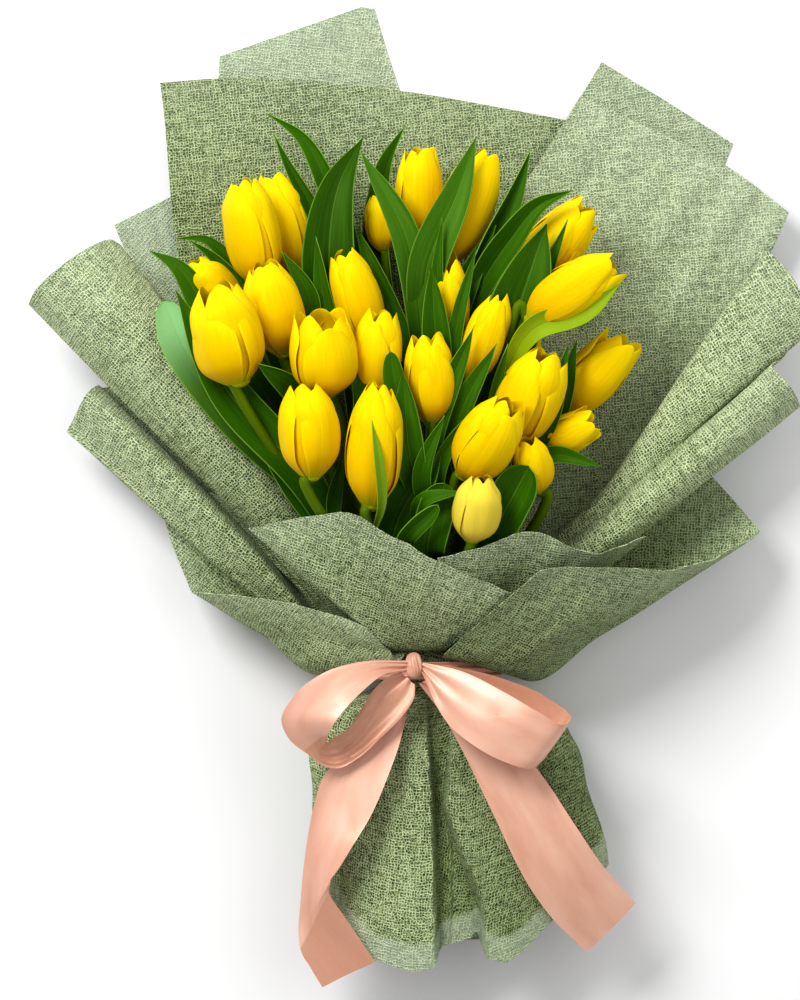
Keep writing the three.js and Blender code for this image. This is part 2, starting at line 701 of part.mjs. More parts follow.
/** The ribbon's knot. */
function knotSolid() {
  const geometry = new THREE.SphereGeometry(1, KNOT.around, KNOT.along);
  geometry.scale(...KNOT.halfSize);
  geometry.translate(...KNOT.centre);
  return solidOf(geometry);
}

/** A stretch of ribbon between its two edges. */
function stripSolid(strip) {
  return solidOf(slabGeometry([strip.outer.map(vector), strip.inner.map(vector)], RIBBON_THICKNESS));
}

const bunch = new THREE.Group();

/** Adds a solid to the bunch as a named mesh with its own material. */
function addPiece(name, solid, look) {
  const mesh = new THREE.Mesh(geometryOf(solid), new THREE.MeshStandardMaterial(look));
  mesh.name = name;
  bunch.add(mesh);
}

const heads = HEADS.map(headSolid);
const rooms = heads.map((solid, index) => headRoom(solid, HEADS[index]));
heads.forEach((solid, index) => {
  addPiece(`tulip_head_${String(index + 1).padStart(2, "0")}`, solid, LOOK.petals);
});

SHEETS.forEach((sheet) => addPiece(sheet.name, sheetSolid(sheet), LOOK.wrap));
addPiece("wrap_inner_and_tail", tailSolid(), LOOK.wrap);

// Stems and leaves of each row join at the tie. A row is trimmed round the heads, the sheets and the
// rows in front of it.
const ROW_NAMES = ["back", "middle_back", "middle_front", "front"];
const taken = [...rooms, tailSolid(CLEARANCE), ...SHEETS.map((sheet) => sheetSolid(sheet, CLEARANCE))];
for (let row = ROW_NAMES.length - 1; row >= 0; row -= 1) {
  const members = HEADS.map((head, index) => index).filter((index) => HEADS[index].row === row);
  const pieces = [];
  const room = [];
  members.forEach((index, place) => {
    const curve = stemCurve(HEADS[index], place, members.length);
    pieces.push(stemSolid(curve));
    room.push(stemSolid(curve, CLEARANCE));
    for (const leaf of LEAVES.filter((entry) => entry.head === index + 1)) {
      pieces.push(leafSolid(leaf, curve));
      room.push(leafSolid(leaf, curve, CLEARANCE));
    }
  });
  const foliage = largestBody(Manifold.union(pieces).subtract(Manifold.union(taken)));
  addPiece(`stems_and_leaves_${ROW_NAMES[row]}`, foliage, LOOK.foliage);
  taken.push(foliage, ...room);
}

addPiece("ribbon_band", bandSolid(), LOOK.ribbon);
addPiece("ribbon_knot", knotSolid(), LOOK.ribbon);
RIBBON_STRIPS.forEach((strip) => addPiece(strip.name, stripSolid(strip), LOOK.ribbon));

// The bunch is centred over the origin and lies on the plane Z = 0.
const box = new THREE.Box3().setFromObject(bunch);
const middle = box.getCenter(new THREE.Vector3());
bunch.position.set(-middle.x, -middle.y, -box.min.z);

export default bunch;
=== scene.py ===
"""Dresses the frame of a bunch of yellow tulips, wrapped in green woven paper and tied with a satin bow.

The bunch lies on its back: flower heads towards +Y, bow towards +Z, metres throughout.
"""

import logging
import math
from dataclasses import dataclass
from enum import Enum

import bpy
import numpy as np
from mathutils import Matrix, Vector


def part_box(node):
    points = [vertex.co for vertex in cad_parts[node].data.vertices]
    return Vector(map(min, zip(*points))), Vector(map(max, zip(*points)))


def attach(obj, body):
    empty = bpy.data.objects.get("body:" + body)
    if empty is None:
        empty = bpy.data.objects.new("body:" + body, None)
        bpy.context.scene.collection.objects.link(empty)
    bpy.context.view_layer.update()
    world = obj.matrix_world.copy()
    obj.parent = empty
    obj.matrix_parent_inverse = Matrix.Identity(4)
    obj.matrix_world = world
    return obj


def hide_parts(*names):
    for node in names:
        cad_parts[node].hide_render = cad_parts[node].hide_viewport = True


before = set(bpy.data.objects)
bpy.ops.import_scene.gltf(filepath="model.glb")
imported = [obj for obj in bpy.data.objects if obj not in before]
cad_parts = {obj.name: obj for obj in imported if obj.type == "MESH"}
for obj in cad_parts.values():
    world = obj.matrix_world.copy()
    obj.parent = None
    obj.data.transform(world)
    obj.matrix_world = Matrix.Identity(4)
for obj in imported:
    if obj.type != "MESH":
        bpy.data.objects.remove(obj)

log = logging.getLogger("bunch")

MM = 0.001
# The drawing's own middle of the knot, in millimetres. Its place in the frame gives the drawing's shift.
KNOT_DRAWN = (0.0, -99.0, 75.9)
# The photograph's middle and height in the drawing; the camera's distance above a level in the bunch, and
# its sensor. All in millimetres.
PHOTO_CENTRE = (-8.4, 0.0)
PHOTO_HEIGHT = 600.0
VIEW_DISTANCE = 4200.0
VIEW_LEVEL = 60.0
SENSOR = 36.0
# The first seed of each kind of piece, whose random draws give it its small differences.
BAND_SEED, SHEET_SEED, STRIP_SEED, TAIL_SEED, LEAF_SEED = 7, 20, 60, 91, 300
# The coarse net that lays a sheet flat: its points each way, its steps and the share of each pull.
NET_POINTS = 20
NET_STEPS = 450
NET_PULL = 0.25

Point = tuple[float, float, float]


def drawing_shift() -> Vector:
    """Gives the step from the drawing's origin to the frame's, in metres."""
    low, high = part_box("ribbon_knot")
    return (Vector(low) + Vector(high)) / 2 - Vector(KNOT_DRAWN) * MM


SHIFT = drawing_shift()
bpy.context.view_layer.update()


def placed(point: Point) -> Vector:
    """Turns a point of the drawing, in millimetres, into a place in the frame."""
    return Vector(point) * MM + SHIFT


def through(knots: np.ndarray, places: np.ndarray, counts: np.ndarray) -> np.ndarray:
    """Draws a smooth curve through values.

    Args:
        knots: the values, one row each, of any number of columns.
        places: where each value stands along the curve, rising.
        counts: where the curve is read.

    Returns:
        The curve's values at counts.
    """
    upright = (-1, *([1] * (knots.ndim - 1)))
    slopes = np.empty_like(knots)
    spans = np.diff(places)
    rises = (knots[1:] - knots[:-1]) / spans.reshape(upright)
    slopes[0], slopes[-1] = rises[0], rises[-1]
    if len(knots) > 2:
        before, after = spans[:-1].reshape(upright), spans[1:].reshape(upright)
        slopes[1:-1] = (rises[:-1] * after + rises[1:] * before) / (before + after)
    index = np.clip(np.searchsorted(places, counts, side="right") - 1, 0, len(spans) - 1)
    span = spans[index].reshape(upright)
    share = ((counts - places[index]) / spans[index]).reshape(upright)
    a, b = knots[index], knots[index + 1]
    start, end = slopes[index] * span, slopes[index + 1] * span
    square, cube = share**2, share**3
    return (
        (2 * cube - 3 * square + 1) * a
        + (cube - 2 * square + share) * start
        + (3 * square - 2 * cube) * b
        + (cube - square) * end
    )


def chords(points: np.ndarray) -> np.ndarray:
    """Places rows of points from 0 to 1 by the mean distance between them."""
    steps = np.linalg.norm(np.diff(points, axis=0), axis=-1)
    steps = steps.reshape(len(points) - 1, -1).mean(axis=1)
    places = np.concatenate([[0.0], np.cumsum(np.maximum(steps, 1e-6))])
    return places / places[-1]


def fine_grid(rough: np.ndarray, rows: int, columns: int, sharp: tuple = ()) -> np.ndarray:
    """Refines a grid of points into a smooth one.

    Args:
        rough: the points, as rows by columns by 3.
        rows: how many rows the fine grid has.
        columns: about how many columns it has.
        sharp: which rough columns end in a corner at the last row.

    Returns:
        The fine grid of points.
    """
    tall = through(rough, chords(rough), np.linspace(0, 1, rows))
    turned = np.swapaxes(tall, 0, 1)
    places = chords(turned)
    bends = [0, *sharp, len(places) - 1]
    soft, hard = [], []
    for start, end in zip(bends, bends[1:]):
        count = max(3, round(columns * (places[end] - places[start])) + 1)
        at = np.linspace(places[start], places[end], count)[: None if end == bends[-1] else -1]
        soft.append(through(turned, places, at))
        hard.append(through(turned[start : end + 1], places[start : end + 1], at))
    share = (np.linspace(0, 1, rows) ** 2.5)[:, None, None]
    soft, hard = (np.swapaxes(np.concatenate(part), 0, 1) for part in (soft, hard))
    return soft * (1 - share) + hard * share


def grid_normals(grid: np.ndarray) -> np.ndarray:
    """Gives the normals of a grid of points, on the side that faces away from its back."""
    along = np.gradient(grid, axis=0)
    across = np.gradient(grid, axis=1)
    normals = np.cross(across, along)
    return normals / np.maximum(np.linalg.norm(normals, axis=-1, keepdims=True), 1e-9)


def deselect() -> None:
    """Leaves nothing selected, so that an operator acts on what is picked next."""
    bpy.ops.object.select_all(action="DESELECT")


def pick(piece: bpy.types.Object) -> None:
    """Selects one object and makes it the active one."""
    deselect()
    piece.select_set(True)
    bpy.context.view_layer.objects.active = piece


def finish_with(piece: bpy.types.Object, kind: str, **settings: object) -> None:
    """Adds a modifier to a piece and applies it.

    Args:
        piece: the object.
        kind: the modifier's type.
        settings: the modifier's settings by name.
    """
    pick(piece)
    modifier = piece.modifiers.new(kind.title(), kind)
    for name, value in settings.items():
        setattr(modifier, name, value)
    bpy.ops.object.modifier_apply(modifier=modifier.name)


def piece_from(name: str, mesh: bpy.types.Mesh) -> bpy.types.Object:
    """Puts a mesh into the scene as a named piece."""
    piece = bpy.data.objects.new(name, mesh)
    bpy.context.scene.collection.objects.link(piece)
    return piece


def laid_out(grid: np.ndarray) -> np.ndarray:
    """Lays a grid of points flat, each point as far along its row and column as on the surface.

    Args:
        grid: the points, as rows by columns by 3.

    Returns:
        The flat places, as rows by columns by 2, in metres.
    """
    across = np.linalg.norm(np.diff(grid, axis=1), axis=-1)
    along = np.linalg.norm(np.diff(grid, axis=0), axis=-1)
    u = np.concatenate([np.zeros((grid.shape[0], 1)), np.cumsum(across, axis=1)], axis=1)
    v = np.concatenate([np.zeros((1, grid.shape[1])), np.cumsum(along, axis=0)], axis=0)
    return np.stack([u - u[:, -1:] / 2, v], -1)


def unrolled(grid: np.ndarray, weave: float) -> np.ndarray:
    """Lays a sheet flat by letting a coarse net over it settle to its true lengths.

    Args:
        grid: the points, as rows by columns by 3.
        weave: the angle that the pattern is turned by, in degrees.

    Returns:
        The flat places, as rows by columns by 2, in metres.
    """
    rows, columns = (np.linspace(0, count - 1, NET_POINTS).round().astype(int) for count in grid.shape[:2])
    net, flat = (points[np.ix_(rows, columns)] for points in (grid, laid_out(grid)))
    whole, left, right = slice(None), slice(None, -1), slice(1, None)
    springs = [((whole, left), (whole, right)), ((left, whole), (right, whole))]
    springs += [((left, left), (right, right)), ((left, right), (right, left))]
    lengths = [np.linalg.norm(net[b] - net[a], axis=-1)[..., None] for a, b in springs]
    for _ in range(NET_STEPS):
        pull = np.zeros(flat.shape)
        for (a, b), length in zip(springs, lengths):
            apart = flat[b] - flat[a]
            reach = np.maximum(np.linalg.norm(apart, axis=-1, keepdims=True), 1e-9)
            move = apart * (0.5 - 0.5 * length / reach)
            pull[a] += move
            pull[b] -= move
        flat = flat + pull * NET_PULL
    tall = through(flat, rows / rows[-1], np.linspace(0, 1, len(grid)))
    fine = through(np.swapaxes(tall, 0, 1), columns / columns[-1], np.linspace(0, 1, grid.shape[1]))
    cosine, sine = math.cos(math.radians(weave)), math.sin(math.radians(weave))
    return np.swapaxes(fine, 0, 1) @ np.array([[cosine, -sine], [sine, cosine]])


def even_places(rows: int, columns: int) -> np.ndarray:
    """Lays a grid out over the square from 0 to 1."""
    v, u = np.meshgrid(np.linspace(0, 1, rows), np.linspace(0, 1, columns), indexing="ij")
    return np.stack([u, v], -1)


def grid_mesh(name: str, grid: np.ndarray, flat: np.ndarray, closed: bool = False) -> bpy.types.Mesh:
    """Makes a mesh of quads over a grid of points, with a UV map.

    Args:
        name: the mesh's name.
        grid: the points, as rows by columns by 3.
        flat: each point's place in the UV map, with one more column where the grid is closed.
        closed: whether the last column joins the first.

    Returns:
        The mesh.
    """
    rows, columns = grid.shape[:2]
    r, c = np.meshgrid(np.arange(rows - 1), np.arange(columns if closed else columns - 1), indexing="ij")
    ring = [(r, c), (r, c + 1), (r + 1, c + 1), (r + 1, c)]
    quads = np.stack([row * columns + column % columns for row, column in ring], -1)
    mesh = bpy.data.meshes.new(name)
    mesh.from_pydata(grid.reshape(-1, 3).tolist(), [], quads.reshape(-1, 4).tolist())
    layer = mesh.uv_layers.new(name="laid_flat")
    layer.data.foreach_set("uv", np.stack([flat[row, column] for row, column in ring], 2).reshape(-1))
    mesh.update()
    return mesh


def mark(mesh: bpy.types.Mesh, name: str, values: np.ndarray | float) -> None:
    """Keeps a number on each point of a mesh under a name, for its material to read."""
    attribute = mesh.attributes.new(name, "FLOAT", "POINT")
    attribute.data.foreach_set("value", np.broadcast_to(values, len(mesh.vertices)).astype(float))


def ripples(u: np.ndarray, v: np.ndarray, seed: int, folds: float, reach: float) -> np.ndarray:
    """Gives soft random waves between about -1 and 1.

    Args:
        u: place across.
        v: place along.
        seed: which waves.
        folds: how many folds there are across.
        reach: how many waves there are along.

    Returns:
        The height of the waves at each place.
    """
    draw = np.random.default_rng(seed)
    height = np.zeros(np.broadcast(u, v).shape)
    for _ in range(7):
        wide = folds * draw.uniform(0.35, 1.5)
        tall = reach * draw.uniform(-1.0, 1.0)
        height = height + draw.uniform(0.25, 0.6) * np.sin(2 * np.pi * (wide * u + tall * v + draw.uniform()))
    return height / 1.6


def joined(name: str, pieces: list[bpy.types.Object]) -> bpy.types.Object:
    """Joins pieces into one, which keeps their UV maps.

    Args:
        name: the name of the joined piece.
        pieces: the objects to join.

    Returns:
        The joined piece.
    """
    pick(pieces[0])
    for piece in pieces:
        piece.select_set(True)
    if len(pieces) > 1:
        bpy.ops.object.join()
    pieces[0].name = name
    pieces[0].data.name = name
    return pieces[0]


def rounded(piece: bpy.types.Object, degrees: float = 50) -> None:
    """Shades a piece smooth, apart from edges sharper than an angle."""
    pick(piece)
    bpy.ops.object.shade_smooth_by_angle(angle=math.radians(degrees))


def thin_piece(name: str, mesh: bpy.types.Mesh, thickness: float, degrees: float) -> bpy.types.Object:
    """Makes a named piece from a mesh of one skin, gives it a thickness and shades it smooth."""
    piece = piece_from(name, mesh)
    finish_with(piece, "SOLIDIFY", thickness=thickness, offset=0)
    rounded(piece, degrees)
    return piece


def ink(red: int, green: int, blue: int) -> tuple[float, float, float, float]:
    """Turns a colour as seen on a screen, 0 to 255, into the shader's own scale."""
    levels = [part / 255 for part in (red, green, blue)]
    return (*(c / 12.92 if c <= 0.04045 else ((c + 0.055) / 1.055) ** 2.4 for c in levels), 1.0)


class Value:
    """One node's output, which Python's arithmetic works on by adding Math nodes."""

    def __init__(self, paint: "Paint", socket: bpy.types.NodeSocket) -> None:
        """Wraps a socket of a paint's nodes."""
        self.paint = paint
        self.socket = socket

    def math(self, operation: str, first: object, second: object = 0.0) -> "Value":
        """Adds one Math node and gives its output."""
        return self.paint.node("ShaderNodeMath", {"operation": operation}, {0: first, 1: second})

    def __add__(self, other: object) -> "Value":
        """Adds."""
        return self.math("ADD", self, other)

    def __radd__(self, other: object) -> "Value":
        """Adds, reflected."""
        return self.math("ADD", other, self)

    def __sub__(self, other: object) -> "Value":
        """Subtracts."""
        return self.math("SUBTRACT", self, other)

    def __rsub__(self, other: object) -> "Value":
        """Subtracts, reflected."""
        return self.math("SUBTRACT", other, self)

    def __mul__(self, other: object) -> "Value":
        """Multiplies."""
        return self.math("MULTIPLY", self, other)

    def far_from(self, middle: float) -> "Value":
        """Gives the distance from a value."""
        return self.math("ABSOLUTE", self - middle)

    def eased(self, low: float, high: float) -> "Value":
        """Rises smoothly from 0 at low to 1 at high."""
        settings = {"interpolation_type": "SMOOTHSTEP"}
        return self.paint.node(
            "ShaderNodeMapRange", settings, {"Value": self, "From Min": low, "From Max": high}
        )


class Paint:
    """A material's nodes, made by one method and wired into one Principled shader."""

    def __init__(self, name: str) -> None:
        """Starts a named material with an empty shader."""
        self.material = bpy.data.materials.new(name)
        self.material.use_nodes = True
        self.nodes = self.material.node_tree.nodes
        self.links = self.material.node_tree.links
        self.shader = self.nodes["Principled BSDF"]

    def node(self, kind: str, settings: dict, inputs: dict, output: object = 0) -> Value:
        """Adds a node.

        Args:
            kind: the node's type.
            settings: its own settings, set first; stops holds a ramp's places and colours.
            inputs: values or links of its sockets, by name or number.
            output: the name or number of the output to hand back.

        Returns:
            The chosen output.
        """
        made = self.nodes.new(kind)
        for name, setting in settings.items():
            if name == "stops":
                ramp = made.color_ramp.elements
                for _ in range(len(setting) - len(ramp)):
                    ramp.new(0.5)
                for element, (place, colour) in zip(ramp, setting):
                    element.position = place
                    element.color = colour
            else:
                setattr(made, name, setting)
        for name, given in inputs.items():
            self.feed(made.inputs[name], given)
        return Value(self, made.outputs[output])

    def feed(self, socket: bpy.types.NodeSocket, given: object) -> None:
        """Sets a socket to a number or colour, or links it to a value."""
        if isinstance(given, Value):
            self.links.new(given.socket, socket)
        else:
            socket.default_value = given

    def surface(self, **inputs: object) -> None:
        """Feeds the shader's own sockets; an underscore stands for a space."""
        for name, given in inputs.items():
            self.feed(self.shader.inputs[name.replace("_", " ")], given)

    def laid_flat(self, wide: float, tall: float) -> Value:
        """Gives the piece's UV place, stretched by a scale each way."""
        place = self.node("ShaderNodeUVMap", {"uv_map": "laid_flat"}, {})
        return self.node(
            "ShaderNodeVectorMath", {"operation": "MULTIPLY"}, {0: place, 1: (wide, tall, 1.0)}
        )

    def part(self, place: Value, axis: str) -> Value:
        """Gives one part of a place: X, Y or Z."""
        return self.node("ShaderNodeSeparateXYZ", {}, {0: place}, axis)

    def grain(self, wide: float, tall: float, detail: float) -> Value:
        """Gives a soft random pattern, from 0 to 1, with so many grains to a unit of the UV map each way."""
        place = self.laid_flat(wide, tall)
        return self.node("ShaderNodeTexNoise", {}, {"Vector": place, "Scale": 1.0, "Detail": detail})

    def ramp(self, place: Value, *stops: tuple[float, tuple]) -> Value:
        """Turns a value into a colour by stops."""
        return self.node("ShaderNodeValToRGB", {"stops": stops}, {0: place})

    def blend(self, share: object, first: object, second: object, how: str = "MIX") -> Value:
        """Mixes two colours by a share."""
        settings = {"data_type": "RGBA", "blend_type": how}
        return self.node("ShaderNodeMix", settings, {0: share, 6: first, 7: second}, 2)

    def attribute(self, name: str) -> Value:
        """Reads a number kept on the piece's points."""
        return self.node("ShaderNodeAttribute", {"attribute_name": name}, {}, "Fac")

    def relief(self, height: Value, depth: float, strength: float) -> Value:
        """Turns a height into a normal, depth metres deep."""
        return self.node("ShaderNodeBump", {}, {"Height": height, "Distance": depth, "Strength": strength})


@dataclass(frozen=True)
class PetalFinish:
    """Bright yellow petal, greenish where it joins the stem, with fine long streaks."""

    root: tuple = ink(156, 166, 8)
    throat: tuple = ink(217, 171, 0)
    body: tuple = ink(227, 187, 0)
    rim: tuple = ink(240, 210, 8)
    bud: tuple = ink(226, 206, 84)
    shade: tuple = ink(214, 156, 0)

    def make(self) -> bpy.types.Material:
        """Builds the material from the petal's UV map: across, then from root to tip."""
        paint = Paint("yellow_petal")
        flat = paint.laid_flat(1, 1)
        across, along = paint.part(flat, "X"), paint.part(flat, "Y")
        streaks = paint.grain(34, 2.2, 4.0)
        ribs = paint.grain(7, 0.8, 1.0)
        tone = paint.ramp(
            along + (streaks - 0.5) * 0.16,
            (0.0, self.root),
            (0.13, self.throat),
            (0.42, self.body),
            (1.0, self.rim),
        )
        midrib = 1 - across.far_from(0.5).eased(0.0, 0.16)
        shaded = paint.blend(streaks.eased(0.42, 0.85) * 0.35 + midrib * 0.14, tone, self.shade)
        border = across.far_from(0.5).eased(0.44, 0.5)
        shaded = paint.blend(border * 0.5, shaded, self.rim)
        shaded = paint.blend(paint.attribute("pale"), shaded, self.bud)
        height = streaks * 0.35 + ribs * 0.9 - midrib * 0.3
        paint.surface(
            Base_Color=shaded,
            Roughness=0.46 + streaks * 0.12,
            Normal=paint.relief(height, 0.0007, 0.6),
            Subsurface_Weight=0.12,
            Subsurface_Scale=0.005,
            Subsurface_Radius=(1.0, 0.7, 0.02),
            Specular_IOR_Level=0.16,
            Specular_Tint=(1.0, 0.8, 0.15, 1.0),
        )
        return paint.material


@dataclass(frozen=True)
class LeafFinish:
    """Smooth tulip leaf with long veins, a pale rib and a thin pale edge; tint runs from deep to grey."""

    deep: tuple = ink(20, 50, 0)
    mid: tuple = ink(52, 94, 2)
    grey: tuple = ink(92, 132, 48)
    pale: tuple = ink(140, 180, 70)
    lime: tuple = ink(166, 186, 20)
    mint: tuple = ink(136, 184, 128)

    def make(self) -> bpy.types.Material:
        """Builds the material from the leaf's UV map and its tint."""
        paint = Paint("tulip_leaf")
        flat = paint.laid_flat(1, 1)
        across, along = paint.part(flat, "X"), paint.part(flat, "Y")
        tint = paint.attribute("tint")
        veins = paint.grain(46, 0.7, 2.0)
        clouds = paint.grain(3, 2, 3.0)
        level = tint * 0.75 + (veins - 0.5) * 0.45 + (clouds - 0.5) * 0.4 + along * 0.1
        tone = paint.ramp(level, (0.0, self.deep), (0.4, self.mid), (0.95, self.grey))
        hue = paint.attribute("lime")
        tone = paint.blend(along.eased(0.6, 0.9) * hue * -1.3, tone, self.mint)
        edge = across.far_from(0.5).eased(0.47, 0.5)
        rib = 1 - across.far_from(0.5).eased(0.0, 0.035)
        paint.surface(
            Base_Color=paint.blend(hue, paint.blend(edge * 0.5 + rib * 0.16, tone, self.pale), self.lime),
            Roughness=0.4 + veins * 0.16,
            Normal=paint.relief(veins * 0.7 - rib * 0.8, 0.0005, 0.6),
            Subsurface_Weight=0.06,
            Subsurface_Scale=0.004,
            Subsurface_Radius=(0.4, 1.0, 0.05),
            Specular_IOR_Level=0.22,
            Specular_Tint=(0.6, 0.9, 0.25, 1.0),
        )
        return paint.material


@dataclass(frozen=True)
class WrapFinish:
    """Green paper of pressed fibres: an uneven net of pale threads over darker holes."""

    thread: tuple = ink(224, 236, 192)
    fibre: tuple = ink(138, 156, 100)
    hole: tuple = ink(46, 66, 24)
    single: tuple = ink(190, 204, 182)
    # The colour that painted shade multiplies the paper towards, as far as its shade attribute reaches.
    painted_shade_tone: tuple = (0.4, 0.45, 0.3, 1.0)
    pitch: float = 1.8 * MM

    def make(self) -> bpy.types.Material:
        """Builds the material from the sheet's UV map, in metres, its ply and its painted shade."""
        paint = Paint("woven_paper")
        count = 1 / self.pitch
        cells = paint.laid_flat(count, count)
        drift = paint.grain(90, 90, 2.0)
        moved = paint.node(
            "ShaderNodeVectorMath", {"operation": "MULTIPLY_ADD"}, {0: drift, 1: (1.6, 1.6, 0.0), 2: cells}
        )
        net = paint.node(
            "ShaderNodeTexVoronoi",
            {"voronoi_dimensions": "2D", "feature": "DISTANCE_TO_EDGE"},
            {"Vector": moved, "Scale": 1.0, "Randomness": 0.58},
        )
        slubs = paint.grain(60, 900, 3.0)
        weft = 1 - paint.grain(120, 640, 2.0).far_from(0.5).eased(0.01, 0.09)
        warp = 1 - paint.grain(640, 120, 2.0).far_from(0.5).eased(0.01, 0.09)
        clouds = paint.grain(16, 16, 2.0)
        holes = net.eased(0.04, 0.3)
        crossing = weft.math("MAXIMUM", weft, warp)
        threads = crossing * 0.44 - holes * 0.54 + (slubs - 0.5) * 0.55 + 0.06
        # Where the painted shade is deeper, the net's contrast is painted stronger too.
        level = 0.55 + threads * (1.0 + paint.attribute("shade") * 0.25) + (clouds - 0.5) * 0.35
        tone = paint.ramp(level, (0.1, self.hole), (0.5, self.fibre), (0.95, self.thread))
        tone = paint.blend((1 - paint.attribute("ply")) * 0.8, tone, self.single)
        # Painted shade: the shade attribute darkens the paper by this finish's shade colour.
        paint.surface(
            Base_Color=paint.blend(paint.attribute("shade"), tone, self.painted_shade_tone, "MULTIPLY"),
            Roughness=0.78 + slubs * 0.15,
            Normal=paint.relief(level, 0.0011, 0.9),
            Sheen_Weight=0.06,
            Sheen_Roughness=0.6,
            Specular_IOR_Level=0.12,
        )
        return paint.material


@dataclass(frozen=True)
class SatinFinish:
    """Peach satin ribbon, with threads along its length and a soft sheen, partly painted into its colour as
    painted highlight and shade.
    """

    # fold and light are painted shade and painted highlight, laid over the body in soft patches, and also the
    # tones of its dark and pale threads.
    body: tuple = ink(222, 171, 147)
    light: tuple = ink(234, 193, 174)
    fold: tuple = ink(202, 146, 121)
    # The reverse side's colour: partly its own duller tone, partly painted shade where it faces into a loop.
    reverse: tuple = ink(196, 138, 108)

    def make(self) -> bpy.types.Material:
        """Builds the material from the ribbon's UV map, in metres: across, then along."""
        paint = Paint("peach_satin")
        threads = paint.grain(5200, 160, 1.0)
        sheen = paint.grain(60, 14, 2.0)
        # Painted sheen: soft patches painted lighter as painted highlight and darker as painted shade.
        tone = paint.ramp(sheen, (0.25, self.fold), (0.5, self.body), (0.8, self.light))
        # Past turned, the ribbon takes the reverse colour, partly as painted shade inside a loop.
        tone = paint.blend(paint.attribute("reverse") * 0.7, tone, self.reverse)
        paint.surface(
            Base_Color=paint.blend(0.18, tone, paint.ramp(threads, (0.3, self.fold), (0.7, self.light))),
            Roughness=0.34 + threads * 0.14,
            Normal=paint.relief(threads, 0.0001, 0.35),
            Metallic=0.12,
            Anisotropic=0.5,
            Specular_IOR_Level=0.6,
        )
        return paint.material


class Finish(Enum):
    """The finishes that pieces of the bunch may take."""

    PETALS = "petals"
    FOLIAGE = "foliage"
    WRAP = "wrap"
    RIBBON = "ribbon"


class Wardrobe:
    """Holds one material for each finish and dresses pieces in it."""

    def __init__(self) -> None:
        """Makes the four materials."""
        self.materials = {
            Finish.PETALS: PetalFinish().make(),
            Finish.FOLIAGE: LeafFinish().make(),
            Finish.WRAP: WrapFinish().make(),
            Finish.RIBBON: SatinFinish().make(),
        }

    def dress(self, piece: bpy.types.Object, finish: Finish, node: str) -> None:
        """Gives a piece its finish and lets it stand for a node of the frame.

        Args:
            piece: the finished object.
            finish: what it is made of.
            node: the node that it replaces.
        """
        piece.data.materials.clear()
        piece.data.materials.append(self.materials[finish])
        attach(piece, "root")
        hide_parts(node)
        log.info("%s: %d faces, for %s", piece.name, len(piece.data.polygons), node)


@dataclass(frozen=True)
class Head:
    """One tulip head, drawn in millimetres: where it sits, how wide it is and how far it opens.

    turn swings its petals round its axis, row is the row of stems that it grows on, and loose lists
    petals that stand out: which one (0 to 2 outer, 3 to 5 inner), its reach and how far it leans out.
    pale is how far from full yellow a young head still is.
    """

    row: int
    base: Point
    tip: Point
    width: float
    open: float
    turn: float = 0.0
    loose: tuple = ()
    pale: float = 0.0


HEADS = (
    Head(0, (-107, 114, 36), (-134, 145, 40), 28, 0.2, 20),
    Head(0, (-68, 132, 29), (-86, 200, 32), 34, 0.3, -25),
    Head(0, (-18, 150, 33), (-23, 185, 35), 18, 0, 10),
    Head(0, (2, 154, 33), (4, 215, 39), 29, 0.35, 15),
    Head(0, (18, 143, 49), (45, 211, 53), 32, 0.25, 35),
    Head(0, (64, 129, 50), (107, 178, 58), 32, 0.4, -20, ((1, 0.9, 0.08),)),
    Head(0, (73, 128, 29), (100, 151, 32), 21, 0.3),
    Head(0, (88, 54, 50), (131, 98, 56), 31, 0.6, 25, ((0, 0.95, 0.06), (1, 1.0, 0.16), (2, 0.92, 0.1))),
    Head(1, (-91, 129, 55), (-104, 193, 66), 33, 0.15, -35),
    Head(1, (-26, 93, 59), (-43, 151, 66), 28, 0.3, 30),
    Head(
        1, (23, 95, 66), (21, 152, 72), 22, 0.3, 0,
        ((0, 0.72, 0.08), (1, 0.84, 0.0), (2, 0.78, 0.04), (3, 0.8, 0.0), (4, 0.86, 0.0), (5, 1.0, -0.04)),
    ),
    Head(1, (32, 70, 77), (53, 125, 84), 24, 0, 20),
    Head(1, (50, 69, 53), (71, 103, 58), 26, 0.5, 30),
    Head(1, (68, 107, 79), (122, 143, 86), 32, 0.25, -20, ((2, 0.9, 0.05),)),
    Head(2, (-104, 69, 100), (-119, 130, 108), 42, 0.35, -42, ((0, 0.8, 0.1), (4, 0.97, 0.05))),
    Head(2, (-77, 87, 72), (-91, 144, 83), 34, 0.15, 25),
    Head(
        2, (-53, 62, 95), (-55, 113, 109), 40, 0.6, 14,
        ((0, 0.86, 0.03), (3, 0.97, -0.05), (4, 0.93, -0.05)),
    ),
    Head(2, (-25, 60, 83), (-20, 115, 91), 30, 0.35, -25, ((0, 0.88, 0.06),)),
    Head(2, (10, 45, 91), (8, 101, 97), 29, 0.35, 22, ((0, 0.87, 0.0),)),
    Head(2, (56, 34, 78), (82, 90, 96), 38, 0.3, -28, ((0, 0.9, 0.02),)),
    Head(2, (76, 31, 70), (110, 49, 78), 23, 0.7, 15, ((0, 0.95, 0.1), (1, 0.9, 0.14))),
    Head(2, (74, 5, 93), (67, 38, 107), 23, 0.3, 20),
    Head(3, (-61, 13, 111), (-64, 71, 120), 35, 0.2, 38, ((0, 0.94, 0.0), (2, 0.97, 0.0))),
    Head(3, (-26, -4, 107), (-20, 71, 120), 33, 0.05, -12, ((0, 0.92, 0.0),)),
    Head(3, (29, 14, 99), (59, 59, 122), 35, 0.25, 32, ((0, 0.9, 0.03),)),
    Head(3, (34, -24, 105), (41, 15, 123), 28, 0, 24, pale=0.7),
)


@dataclass(frozen=True)
class PetalShape:
    """How one ring of petals stands: where it starts, its share of the head's width, its reach."""

    start: float
    scale: float
    shortest: float
    tip_drop: float
    closing: float


